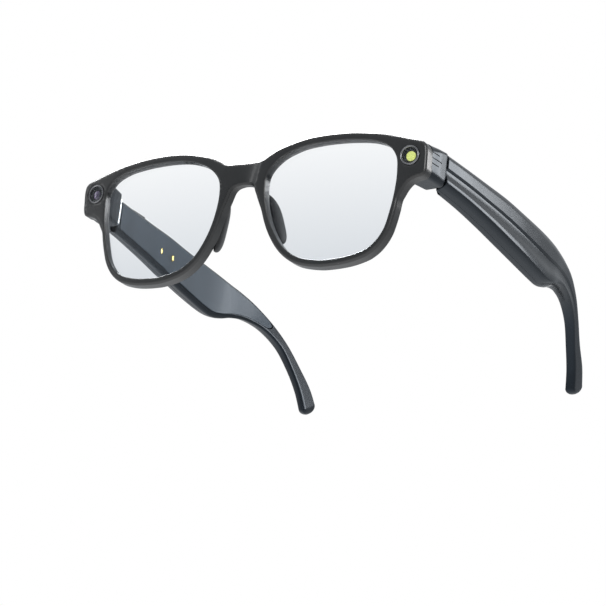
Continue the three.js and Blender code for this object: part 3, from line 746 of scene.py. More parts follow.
def settle(target: bpy.types.Object) -> None:
    """Turns an object with modifiers into a plain mesh.

    Args:
        target: The object to settle.
    """
    graph = bpy.context.evaluated_depsgraph_get()
    graph.update()
    mesh = bpy.data.meshes.new_from_object(target.evaluated_get(graph), depsgraph=graph)
    target.modifiers.clear()
    target.data = mesh


def finish_piece(piece: bpy.types.Object, finish: str, body: str, nodes: Sequence[str],
                 crease: float = 32.0) -> bpy.types.Object:
    """Shades, dresses and hands over one piece.

    Args:
        piece: The object.
        finish: The finish's name, which is also its slot.
        body: The body it rides on.
        nodes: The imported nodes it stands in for.
        crease: Angle in degrees above which an edge stays sharp.

    Returns:
        The same object.
    """
    mesh = piece.data
    mesh.shade_smooth()
    mesh.set_sharp_from_angle(angle=math.radians(crease))
    even = piece.modifiers.new("even", "WEIGHTED_NORMAL")
    even.keep_sharp = True
    settle(piece)
    piece.data.materials.clear()
    piece.data.materials.append(FINISH[finish])
    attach(piece, body)
    if nodes:
        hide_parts(*nodes)
    LOG.info("%s: %d faces on %s", piece.name, len(piece.data.polygons), body)
    return piece


# ------------------------------------------------------------------------------ repeats
@dataclass
class Row:
    """Repeats one drawn item along a straight row with Geometry Nodes."""

    name: str
    count: int
    step: Point3

    def tree(self) -> bpy.types.NodeTree:
        """Builds the node group.

        Returns:
            The node group.
        """
        tree = bpy.data.node_groups.new(f"{self.name}_row", "GeometryNodeTree")
        face = tree.interface
        face.new_socket(name="Item", in_out="INPUT", socket_type="NodeSocketGeometry")
        face.new_socket(name="Count", in_out="INPUT", socket_type="NodeSocketInt")
        face.new_socket(name="Step", in_out="INPUT", socket_type="NodeSocketVector")
        face.new_socket(name="Finish", in_out="INPUT", socket_type="NodeSocketMaterial")
        face.new_socket(name="Row", in_out="OUTPUT", socket_type="NodeSocketGeometry")
        given = put(tree, "NodeGroupInput")
        line = put(tree, "GeometryNodeMeshLine", inputs={
            "Count": given.outputs["Count"], "Offset": given.outputs["Step"]})
        spread = put(tree, "GeometryNodeInstanceOnPoints", inputs={
            "Points": line.outputs["Mesh"], "Instance": given.outputs["Item"]})
        real = put(tree, "GeometryNodeRealizeInstances", inputs={"Geometry": spread.outputs["Instances"]})
        dressed = put(tree, "GeometryNodeSetMaterial", inputs={
            "Geometry": real.outputs["Geometry"], "Material": given.outputs["Finish"]})
        put(tree, "NodeGroupOutput", inputs={"Row": dressed.outputs["Geometry"]})
        return tree

    def lay(self, item: bpy.types.Object, finish: str) -> bpy.types.Object:
        """Repeats an object in place and leaves it a plain mesh.

        Args:
            item: The object to repeat.
            finish: The finish set on the row.

        Returns:
            The same object, now the whole row.
        """
        rule = item.modifiers.new("row", "NODES")
        rule.node_group = self.tree()
        values = {"Count": self.count, "Step": Vector(self.step) * MM, "Finish": FINISH[finish]}
        for socket in rule.node_group.interface.items_tree:
            if socket.item_type == "SOCKET" and socket.in_out == "INPUT" and socket.name in values:
                rule[socket.identifier] = values[socket.name]
        settle(item)
        return item


# ------------------------------------------------------------------------------ the front's outlines
OPENING_SHARES = (
    (0.99, 0.82), (0.938, 0.911), (0.828, 0.969), (0.674, 0.994), (0.548, 1), (0.413, 0.996),
    (0.257, 0.971), (0.106, 0.897), (0.017, 0.787), (0, 0.664), (0.027, 0.467), (0.087, 0.286),
    (0.181, 0.13), (0.292, 0.042), (0.44, 0.003), (0.521, 0), (0.683, 0.019), (0.824, 0.079),
    (0.915, 0.2), (0.965, 0.386), (0.994, 0.578), (1, 0.711),
)


class Outline:
    """The flat outlines of one half of the front, in x and z."""

    def __init__(self, steps: int = 240) -> None:
        """Draws the lens opening and works out its outward normals.

        Args:
            steps: How many points the opening has between its drawn ones, in all.
        """
        foot = S.lens_top - S.lens_height
        self.opening = spline(
            [(S.nose_x + u * S.lens_width, foot + v * S.lens_height) for u, v in OPENING_SHARES], steps, True)
        self.out = normals(self.opening) * (1 if area(self.opening) > 0 else -1)
        self.centre = (S.nose_x + 0.53 * S.lens_width, foot + 0.55 * S.lens_height)

    def grown(self, distance: float) -> np.ndarray:
        """The opening moved outwards by a distance."""
        return self.opening + self.out * distance

    def rim(self, share: float = 1.0) -> np.ndarray:
        """The rim's outer edge, or a line a share of the way out to it.

        Args:
            share: Share of the way from the opening to the rim's outer edge.

        Returns:
            The points, x and z.
        """
        nx, nz = self.out[:, 0], self.out[:, 1]
        across = np.where(nx > 0, S.rim_side, S.rim_nose)
        along = np.where(nz > 0, S.rim_top, S.rim_bottom)
        width = across * nx ** 2 + along * nz ** 2
        return self.opening + self.out * (width * share)[:, None]

    def arc(self, start: float, end: float, share: float = 1.0) -> list[Point2]:
        """The stretch of rim whose normals lie between two angles in degrees, clockwise.

        Args:
            start: The angle it starts at.
            end: The angle it ends at.
            share: Share of the way out to the rim's outer edge.

        Returns:
            The points in order.
        """
        angle = np.degrees(np.arctan2(self.out[:, 1], self.out[:, 0]))
        angle = np.where(angle > 150, angle - 360, angle)
        points = self.rim(share)
        picked = [i for i in np.argsort(-angle) if end <= angle[i] <= start]
        return [tuple(points[i]) for i in picked]

    def half(self) -> np.ndarray:
        """Points of half the front's outer edge, from the bridge's top round to its arch.

        Returns:
            The points, x and z.
        """
        n, o, h = S.nose_x, S.lens_outer, S.half_width
        t, a = S.bridge_top, S.bridge_arch
        top = [(0, t), (0.4 * n, t), (0.81 * n, t + 0.05), (n + 0.9, t + 1.45), (n + 5.2, t + 3.45)]
        u, b = S.lug_top, S.lug_bottom
        lug = [
            (o - 10.4, u + 3.9), (o - 5.9, u + 3.2), (o - 0.4, u + 1.9), (o + 4.1, u + 0.7), (h - 3.8, u),
            (h - 1.8, u - 0.7), (h - 0.6, u - 1.8), (h, u - 4), (h, b + 5.8), (h - 0.1, b + 2.9),
            (h - 0.7, b + 1.2), (h - 1.8, b + 0.5), (h - 3.8, b), (o + 4.8, b - 1.1), (o + 3.1, b - 2.9),
            (o + 1.7, b - 5.3),
        ]
        arch = [
            (0.865 * n, a - 10.4), (0.708 * n, a - 6.9), (0.56 * n, a - 3.5), (0.47 * n, a - 1.7),
            (0.333 * n, a - 0.6), (0.135 * n, a - 0.1), (0, a),
        ]
        return np.array([*top, *self.arc(108, 84)[3:-3:5], *lug, *self.arc(-8, -166)[3:-3:5], *arch])

    def outer(self) -> np.ndarray:
        """The whole outer edge, evenly stepped, clockwise from the bridge's top.

        Returns:
            The points, x and z.
        """
        half = self.half()
        other = half[1:-1][::-1] * np.array([-1, 1])
        loop = spline(np.vstack([half, other]), 1800, True)
        gaps = np.linalg.norm(np.roll(loop, -1, axis=0) - loop, axis=1)
        along = np.concatenate([[0], np.cumsum(gaps)])
        want = np.linspace(0, along[-1], 900, endpoint=False)
        closed = np.vstack([loop, loop[:1]])
        return np.stack([np.interp(want, along, closed[:, k]) for k in (0, 1)], axis=1)

    def cable(self) -> np.ndarray:
        """The cable's way over the brow, from one lug to the other.

        Returns:
            The points, x and z.
        """
        n, o = S.nose_x, S.lens_outer
        middle = (S.bridge_top + S.bridge_arch) / 2
        half = [
            (0, middle + 0.4), (0.5 * n, middle + 0.9), (n + 0.6, S.bridge_top - 0.85),
            *self.arc(120, 70, 0.56)[::12], (o - 0.6, S.lug_top - 0.6),
            (S.port_x - S.ring_radius - 0.4, S.port_height + 2),
        ]
        line = spline(half, 60)
        return np.vstack([line[1:][::-1] * np.array([-1, 1]), line])


def ribbon(path: np.ndarray, width: float) -> np.ndarray:
    """The closed outline of a path given a width.

    Args:
        path: Points along the middle.
        width: The width across in mm.

    Returns:
        The closed outline.
    """
    along = np.gradient(path, axis=0)
    along /= np.linalg.norm(along, axis=1)[:, None]
    across = np.stack([-along[:, 1], along[:, 0]], axis=1) * width / 2
    return np.vstack([path + across, (path - across)[::-1]])


@dataclass
class Edge:
    """One closed edge of the front plate, with the softened chamfers where it meets the two faces."""

    loop: np.ndarray
    hole: bool
    front: float
    back: float

    def rings(self, steps: int = 5) -> list[list[Point3]]:
        """Loops from the front face, over the front chamfer, down the wall and over the back chamfer.

        Args:
            steps: Steps over each chamfer.

        Returns:
            The loops, front to back.
        """
        away = 1 if self.hole else -1
        out = []
        for radius, depth, sign, order in ((self.front, 0.0, 1, 1), (self.back, S.rim_depth, -1, -1)):
            for k in range(steps + 1)[::order]:
                t = k / steps
                reach = radius * (1 - t) ** 1.2
                y = depth + sign * radius * t ** 1.2
                loop = moved_out(self.loop, away * reach)
                out.append([(x, y, z) for x, z in loop])
        return out


def filled(loops: Sequence[np.ndarray], holes: Sequence[bool], depth: float, lines: Sequence[np.ndarray] = (),
           step: float = 1.5) -> Surface:
    """Fills the area between closed loops with small, even triangles.

    Args:
        loops: The closed loops; the first is the outer one.
        holes: Whether each loop is a hole.
        depth: The y that the face lies at.
        lines: Open lines that the triangles must follow.
        step: Distance between the points put inside.

    Returns:
        The face.
    """
    whole = np.vstack(loops)
    lo, hi = whole.min(axis=0), whole.max(axis=0)
    xs, zs = np.arange(lo[0], hi[0], step), np.arange(lo[1], hi[1], step * 0.87)
    grid = np.array([(x + (j % 2) * step / 2, z) for j, z in enumerate(zs) for x in xs])
    fixed = np.vstack([whole, *lines]) if len(lines) else whole
    keep = inside(grid, loops[0])
    for loop, hole in zip(loops[1:], holes[1:]):
        keep &= ~inside(grid, loop) if hole else True
    grid = grid[keep]
    near = np.array([np.min(np.sum((fixed - g) ** 2, axis=1)) for g in grid]) if len(grid) else np.zeros(0)
    grid = grid[near > (0.5 * step) ** 2] if len(grid) else grid
    edges = []
    start = 0
    for loop in loops:
        edges += [(start + i, start + (i + 1) % len(loop)) for i in range(len(loop))]
        start += len(loop)
    for line in lines:
        edges += [(start + i, start + i + 1) for i in range(len(line) - 1)]
        start += len(line)
    points = [Vector(p) for p in np.vstack([fixed, grid])] if len(grid) else [Vector(p) for p in fixed]
    found, _, faces, *_ = geometry.delaunay_2d_cdt(points, edges, [], 0, 1e-5)
    flat = np.array([tuple(p) for p in found])
    middles = np.array([flat[list(f)].mean(axis=0) for f in faces])
    wanted = inside(middles, loops[0])
    for loop, hole in zip(loops[1:], holes[1:]):
        if hole:
            wanted &= ~inside(middles, loop)
    kept = [tuple(f) for f, w in zip(faces, wanted) if w]
    return Surface().add([(x, depth, z) for x, z in flat], kept)


# ------------------------------------------------------------------------------ the front
@dataclass
class FrontFrame:
    """The one-piece moulded front: rims, bridge and the two lugs."""

    outline: Outline
    face_round: float = 0.85
    back_round: float = 0.12
    opening_round: float = 0.35
    scoop_depth: float = 1.3

    def crease(self, z: float) -> float:
        """Half width of the bridge's hollow at a height.

        Args:
            z: The height in mm.

        Returns:
            The half width in mm.
        """
        low, high = S.bridge_arch - 5.0, S.bridge_top
        t = min(max((z - low) / (high - low), 0.0), 1.0)
        return 4.6 + 3.3 * t

    def hollow(self, x: float, z: float) -> float:
        """How deep the bridge's hollow is at a point of the face."""
        if z < S.bridge_arch - 12:
            return 0.0
        return self.scoop_depth * max(1 - (x / self.crease(z)) ** 2, 0.0)

    def edges(self) -> list[Edge]:
        """The outer edge, the two lens openings and the two port bores.

        Returns:
            The edges, the outer one first.
        """
        found = [Edge(self.outline.outer(), False, self.face_round, self.back_round)]
        turn = np.linspace(0, 2 * math.pi, 96, endpoint=False)
        bore = np.stack([np.cos(turn), np.sin(turn)], axis=1) * (S.ring_radius + 0.06)
        bore += np.array([S.port_x, S.port_height])
        for sign in (1, -1):
            flip = np.array([sign, 1])
            found.append(Edge(self.outline.opening * flip, True, self.opening_round, self.opening_round))
            found.append(Edge(bore * flip, True, 0.08, 0.08))
        return found

    def channel(self) -> tuple[np.ndarray, Surface]:
        """The cable channel in the back: its outline and its walls and floor.

        Returns:
            The outline in the back face, and the surface of the walls and floor.
        """
        path = self.outline.cable()[4:-4]
        outline = ribbon(path, 0.9)
        n = len(outline)
        walls = [[(x, y, z) for x, z in outline] for y in (S.rim_depth, 2.3)]
        surface = Surface().loft(walls, caps=False)
        floor = [(n + i, n + i + 1, 2 * n - 2 - i, 2 * n - 1 - i) for i in range(n // 2 - 1)]
        surface.faces += floor
        return outline, surface

    def shape(self, x: float, y: float, z: float) -> Point3:
        """Hollows the bridge and wraps the plate."""
        fall = self.hollow(x, z) * (1 - y / S.rim_depth)
        return wrap(x, y + fall, z)

    def build(self) -> bpy.types.Object:
        """Builds the frame as one closed body.

        Returns:
            The frame.
        """
        edges = self.edges()
        surface = Surface()
        fronts, backs = [], []
        for edge in edges:
            rings = edge.rings()
            surface.loft(rings, caps=False)
            fronts.append(np.array([(x, z) for x, _, z in rings[0]]))
            backs.append(np.array([(x, z) for x, _, z in rings[-1]]))
        heights = np.linspace(S.bridge_arch - 3.9, S.bridge_top - 0.75, 12)
        creases = [np.array([(sign * self.crease(z), z) for z in heights]) for sign in (1, -1)]
        holes = [edge.hole for edge in edges]
        channel, pocket = self.channel()
        for part in (filled(fronts, holes, 0.0, creases, 1.1),
                     filled([*backs, channel], [*holes, True], S.rim_depth, step=1.6), pocket):
            surface.add(part.points, part.faces)
        return solid("front_frame_moulding", surface.shaped(self.shape))

    def dress(self) -> None:
        """Finishes the frame."""
        finish_piece(self.build(), "frame_nylon", "front", ["front_frame"], 40)


@dataclass
class LensPair:
    """The two clear lenses, each bulged forwards a little, seated in their rims."""

    outline: Outline
    rows: int = 14
    bulge: float = 0.6

    def surface(self) -> Surface:
        """One lens as loops from the middle of its front round the edge to the middle of its back.

        Returns:
            The surface in mm, drawn for the left side.
        """
        rim = self.outline.grown(0.3)[::2]
        cx, cz = self.outline.centre
        shares = [0.02 + 0.98 * (k / self.rows) for k in range(self.rows + 1)]
        loops = []
        for back, order in ((0.0, 1), (S.lens_thickness, -1)):
            for t in shares[::order]:
                depth = S.lens_setback + back - self.bulge * (1 - t * t)
                loops.append([(cx + (x - cx) * t, depth, cz + (z - cz) * t) for x, z in rim])
        return Surface().loft(loops).shaped(wrap)

    def dress(self) -> None:
        """Builds both lenses."""
        for side in Side:
            piece = solid(f"lens_{side.word}_clear", self.surface(), side)
            finish_piece(piece, "lens_clear", "front", [f"lens_{side.word}"], 50)


@dataclass
class NosePads:
    """The two soft wings behind the rims that rest on the nose."""

    length: float = 19.0
    below: float = 3.2
    width: float = 7.2
    thickness: float = 3.4
    rows: int = 36
    around: int = 40

    def surface(self) -> Surface:
        """One pad, rounded at both ends and thinning towards its free edge.

        Returns:
            The surface in mm, drawn for the left side.
        """
        top = (0.86 * S.nose_x, S.bridge_arch - self.below)
        foot = (S.nose_x + 3.2, top[1] - self.length)
        loops = []
        for row in range(self.rows + 1):
            t = 0.5 - 0.5 * math.cos(math.pi * row / self.rows)
            swell = max(1 - abs(2 * t - 1) ** 3.2, 0.0004) ** 0.5
            x, z = top[0] + (foot[0] - top[0]) * t, top[1] + (foot[1] - top[1]) * t
            deep, thick = self.width / 2 * swell * (0.72 + 0.28 * t), self.thickness / 2 * swell
            loop = []
            for k in range(self.around):
                turn = 2 * math.pi * k / self.around
                reach = deep * (1 + math.copysign(abs(math.cos(turn)) ** 0.9, math.cos(turn)))
                thin = 1 - 0.3 * reach / (2 * max(deep, 1e-6))
                side = thick * thin * math.copysign(abs(math.sin(turn)) ** 0.85, math.sin(turn))
                loop.append((x + side + 0.3 * reach, S.rim_depth + 0.04 + reach, z))
            loops.append(loop)
        return Surface().loft(loops).shaped(wrap)

    def dress(self) -> None:
        """Builds both pads."""
        for side in Side:
            piece = solid(f"nose_pad_{side.word}_soft", self.surface(), side)
            finish_piece(piece, "pad_rubber", "front", [f"nose_pad_{side.word}"], 60)


# ------------------------------------------------------------------------------ camera and lamp
@dataclass
class Ports:
    """The camera in the wearer's right lug and the lamp in the left one, with their rings and windows."""

    def ring(self) -> Surface:
        """A trim ring with two bright lips and a shallow groove between them.

        Returns:
            The surface in mm, drawn for the left side.
        """
        outer, front = S.ring_radius, -S.ring_proud
        inner = outer - S.ring_wall
        profile = [
            (inner, 1.4), (inner, front + 0.16), (inner + 0.05, front + 0.04), (inner + 0.14, front),
            (inner + 0.2, front + 0.02), (inner + 0.27, front + 0.13), (inner + 0.35, front + 0.13),
            (inner + 0.42, front + 0.02), (outer - 0.14, front), (outer - 0.05, front + 0.04),
            (outer, front + 0.16), (outer, 1.4),
        ]
        return turned(profile, S.port_x, S.port_height, 128)

    def window(self) -> Surface:
        """A thin clear disc with a tiny chamfer, just behind the ring's lip.

        Returns:
            The surface in mm, drawn for the left side.
        """
        radius = S.ring_radius - S.ring_wall - 0.03
        profile = [(0.01, 0.2), (0.01, -0.05), (radius - 0.12, -0.05), (radius, 0.05), (radius, 0.2)]
        return turned(profile, S.port_x, S.port_height, 96)

    def optic(self) -> Surface:
        """The camera's domed front element.

        Returns:
            The surface in mm, drawn for the left side.
        """
        radius, rise = 1.62, 0.55
        turns = [k * math.pi / 20 for k in range(11)]
        dome = [(radius * math.sin(turn), 0.85 - rise * math.cos(turn)) for turn in turns]
        dome[0] = (0.01, dome[0][1])
        return turned([*dome, (radius, 3.1), (0.01, 3.1)], S.port_x, S.port_height, 80)

    def barrel(self) -> Surface:
        """The stepped black barrel round the optic.

        Returns:
            The surface in mm, drawn for the left side.
        """
        wide = S.ring_radius - S.ring_wall - 0.06
        profile = [
            (0.01, 3.4), (1.66, 3.4), (1.66, 0.8), (1.78, 0.68), (2.05, 0.68), (2.12, 0.5), (2.42, 0.5),
            (2.5, 0.34), (wide, 0.3), (wide, 4.0), (2.1, 4.0), (2.1, 5.8), (0.01, 5.8),
        ]
        return turned(profile, S.port_x, S.port_height, 96)

    def cup(self) -> Surface:
        """The lamp's black cup, sloping in towards its emitter.

        Returns:
            The surface in mm, drawn for the left side.
        """
        wide = S.ring_radius - S.ring_wall - 0.06
        profile = [
            (0.01, 2.4), (1.74, 2.4), (1.76, 0.75), (2.1, 0.5), (wide, 0.3), (wide, 4.0), (2.1, 4.0),
            (2.1, 5.4), (0.01, 5.4),
        ]
        return turned(profile, S.port_x, S.port_height, 96)

    def emitter(self) -> Surface:
        """The lamp's phosphor, a low dome with a rounded edge.

        Returns:
            The surface in mm, drawn for the left side.
        """
        profile = [
            (0.01, 2.1), (0.01, 0.36), (0.6, 0.38), (1.1, 0.45), (1.45, 0.56), (1.62, 0.7), (1.68, 0.9),
            (1.68, 2.1),
        ]
        return turned(profile, S.port_x, S.port_height, 80)

    def dress(self) -> None:
        """Builds both ports."""
        for kind, side in (("lamp", Side.LEFT), ("camera", Side.RIGHT)):
            for part, surface, finish in (("trim_ring", self.ring(), "trim_metal"),
                                          ("window", self.window(), "port_window")):
                piece = solid(f"{kind}_{part}_fine", surface, side)
                finish_piece(piece, finish, "front", [f"{kind}_{part}"], 40)
        others = (
            ("lamp_holder", self.cup(), "black_plastic", Side.LEFT),
            ("lamp_emitter", self.emitter(), "lamp_phosphor", Side.LEFT),
            ("camera_barrel", self.barrel(), "black_plastic", Side.RIGHT),
            ("camera_lens_element", self.optic(), "coated_optic", Side.RIGHT),
        )
        for node, surface, finish, side in others:
            finish_piece(solid(f"{node}_fine", surface, side), finish, "front", [node], 40)


# ------------------------------------------------------------------------------ end blocks and hinges
@dataclass
class EndBlocks:
    """The housings behind the lugs that carry the hinges."""

    inner_front: float = 10.0
    inner_rear: float = 7.5
    top: float = 6.5
    bottom: float = -6.5
    start: float = 8.0

    @property
    def rear(self) -> float:
        """Where the block ends at the seam."""
        return S.seam - 0.12

    def section(self, y: float, inset: float = 0.0) -> list[Point2]:
        """The block's section at a depth; at the lug it takes up the lug's own outline.

        Args:
            y: The depth in mm.
            inset: How far in from the drawn outline.

        Returns:
            The section, x and z.
        """
        t = min(max((y - self.start) / (self.rear - self.start), 0.0), 1.0)
        out = 0.5 * easing(t, 0.0, 0.6)
        x0 = S.half_width - (self.inner_front + (self.inner_rear - self.inner_front) * t) + inset
        x1 = S.half_width - 0.01 + out - inset
        z0, z1 = self.bottom + inset, self.top + 0.4 * t - inset
        corners = [(x0, z0), (x1 - 1.0, z0 + 0.3), (x1, z0 + 2.2), (x1, z1), (x0, z1)]
        return filleted(corners, [1.2, 1.2, 1.6, 3.9 - 2.5 * t, 1.4], 8)

    def surface(self) -> Surface:
        """The block, its front following the back of the lug.

        Returns:
            The surface in mm, drawn for the left side.
        """
        loops = []
        first = self.section(self.start)
        loops.append([(x, wrap(x, S.rim_depth + 0.02, z)[1], z) for x, z in first])
        depths = [10.0, 11.0, 12.0, 13.0, 14.0, 15.0, 16.0, 17.0, self.rear - 0.3, self.rear - 0.1, self.rear]
        insets = [0.0] * 9 + [0.06, 0.22]
        for y, inset in zip(depths, insets):
            loops.append([(x, y, z) for x, z in self.section(y, inset)])
        return Surface().loft(loops)

    def slits(self, side: Side) -> list[bpy.types.Object]:
        """Three sound slits in a row, the middle one reaching further back.

        Args:
            side: The side they are cut on.

        Returns:
            The cutters.
        """
        x = S.half_width - 0.3
        item = solid("slit_cutter", box((x, 8.0, -0.9), (x + 2, 12.6, -0.55)), side)
        longer = solid("long_slit_cutter", box((x, 9.0, 1.1), (x + 2, 14.4, 1.45)), side)
        return [Row("slit", 3, (0.0, 0.0, 2.0)).lay(item, "black_plastic"), longer]

    def dress(self) -> None:
        """Builds both blocks."""
        for side in Side:
            piece = solid(f"endpiece_{side.word}_housing", self.surface(), side)
            recess = box((S.hinge_x - 1.8, self.rear - 1.0, S.hinge_z - 4.85),
                         (S.hinge_x + 3.9, self.rear + 1, S.hinge_z + 4.85))
            cut(piece, [*self.slits(side), solid("leaf_recess", recess, side)])
            finish_piece(piece, "temple_nylon", "front", [f"endpiece_{side.word}"], 35)


@dataclass
class Hinges:
    """Pins and screws of the two hinges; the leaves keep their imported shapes."""

    def pin(self) -> Surface:
        """The pin with its two rounded heads, turned about an upright axis.

        Returns:
            The surface in mm, drawn for the left side.
        """
        half = S.hinge_height / 2
        profile = [
            (0.01, half + 0.45), (0.7, half + 0.44), (1.0, half + 0.36), (1.1, half + 0.2),
            (1.1, half + 0.1), (0.7, half + 0.1),
        ]
        profile += [(r, -h) for r, h in profile[::-1]]
        loops = []
        for k in range(40):
            c, s = math.cos(math.pi * k / 20), math.sin(math.pi * k / 20)
            loops.append([(S.hinge_x + r * c, S.hinge_y + r * s, S.hinge_z + h) for r, h in profile])
        return Surface().loft(loops, around=True)

    def screw(self, place: Point3, along: Point3) -> Surface:
        """A countersunk screw with a hexagonal socket in its head.

        Args:
            place: The middle of the head's face.
            along: Unit direction the screw is driven in.

        Returns:
            The screw.
        """
        axis = Vector(along)
        one = axis.orthogonal().normalized()
        two = axis.cross(one)
        rows = [
            (0.34, 0.3, 6), (0.34, 0.0, 6), (0.74, 0.0, 24), (0.8, 0.07, 24), (0.8, 0.35, 24),
            (0.4, 0.36, 24), (0.4, 1.55, 24),
        ]
        loops = []
        for radius, depth, sides in rows:
            loop = []
            for k in range(24):
                turn = 2 * math.pi * k / 24
                flat = math.cos(math.pi / sides) / math.cos((turn % (2 * math.pi / sides)) - math.pi / sides)
                across = (one * math.cos(turn) + two * math.sin(turn)) * radius * flat
                q = Vector(place) + axis * depth + across
                loop.append(tuple(q))
            loops.append(loop)
        return Surface().loft(loops)

    def dress(self) -> None:
        """Builds pins and screws."""
        for side in Side:
            word = side.word
            pin = solid(f"hinge_pin_{word}_turned", self.pin(), side)
            finish_piece(pin, "hinge_steel", "front", [f"hinge_pin_{word}"], 40)
            start = (S.hinge_x + 2.6, S.seam - 0.2, S.hinge_z - 2.4)
            pair = solid(f"frame_leaf_screws_{word}", self.screw(start, (0, -1, 0)), side)
            Row(f"frame_screws_{word}", 2, (0.0, 0.0, 4.8)).lay(pair, "hinge_steel")
            finish_piece(pair, "hinge_steel", "front",
                         [f"frame_leaf_screw_upper_{word}", f"frame_leaf_screw_lower_{word}"], 40)
            place = (S.hinge_x + 2.6, S.hinge_y + 5, S.hinge_z)
            pair = solid(f"temple_leaf_screws_{word}", self.screw(place, (1, 0, 0)), side)
            Row(f"temple_screws_{word}", 2, (0.0, 4.0, 0.0)).lay(pair, "hinge_steel")
            finish_piece(pair, "hinge_steel", side.body,
                         [f"temple_leaf_screw_front_{word}", f"temple_leaf_screw_rear_{word}"], 40)


# ------------------------------------------------------------------------------ temples
STATIONS = np.array((
    (0.0, 6.6, 0.0, -6.2, 70.3, 2.9, 3.1), (0.106, 6.6, 0.106, -7.1, 71.3, 2.7, 3.3),
    (0.202, 6.6, 0.211, -8.5, 72.0, 2.5, 3.5), (0.308, 6.6, 0.312, -10.3, 72.6, 2.4, 3.6),
    (0.409, 5.8, 0.413, -12.0, 73.0, 2.4, 3.6), (0.509, 5.1, 0.505, -13.4, 73.0, 2.4, 3.3),
    (0.577, 4.4, 0.553, -13.5, 72.7, 2.3, 3.1), (0.625, 3.5, 0.596, -12.0, 72.2, 2.3, 2.9),
    (0.686, 2.2, 0.639, -9.9, 71.1, 2.2, 2.6), (0.749, -0.3, 0.696, -8.5, 69.6, 2.3, 2.4),
    (0.819, -5.0, 0.771, -9.3, 67.2, 2.2, 2.2), (0.879, -10.9, 0.841, -13.6, 64.7, 2.0, 2.0),
    (0.934, -17.9, 0.89, -20.9, 62.5, 1.8, 1.8), (0.984, -24.6, 0.928, -28.5, 60.9, 1.8, 1.8),
    (1.012, -31.2, 0.95, -36.2, 59.6, 1.8, 1.8),
))


@dataclass(frozen=True)
class Station:
    """The temple's section at one share of its length."""

    foot: Point2
    up: Point2
    height: float
    middle: float
    half_top: float
    half_foot: float

    def half(self, rise: float) -> float:
        """Half the thickness at a rise."""
        return self.half_foot + (self.half_top - self.half_foot) * rise / self.height

    def spot(self, x: float, rise: float) -> Point3:
        """A point at an x offset from the middle and a rise from the foot."""
        return self.middle + x, self.foot[0] + self.up[0] * rise, self.foot[1] + self.up[1] * rise


def station(s: float) -> Station:
    """The section at a share of the way along, smoothly between the drawn ones.

    Args:
        s: Share of the temple's length.

    Returns:
        The section there.
    """
    rows = len(STATIONS) - 1
    low = min(int(s * rows), rows - 1)
    t = s * rows - low
    a, b, c, d = [STATIONS[min(max(low + k, 0), rows)] for k in (-1, 0, 1, 2)]
    v = b + 0.5 * t * (c - a + t * (2 * a - 5 * b + 4 * c - d + t * (3 * (b - c) + d - a)))
    front = S.seam + S.gap / 2

    def edge(share: float, z: float) -> Point2:
        """A point of the top or bottom edge, which falls a little along the tail."""
        tail = max(share - 0.7, 0) / 0.3
        return front + share * S.temple_length, z - 0.04 * tail * tail

    top, foot = edge(v[0], v[1]), edge(v[2], v[3])
    height = math.hypot(top[0] - foot[0], top[1] - foot[1])
    up = ((top[0] - foot[0]) / height, (top[1] - foot[1]) / height)
    return Station(foot, up, height, v[4], v[5], v[6])


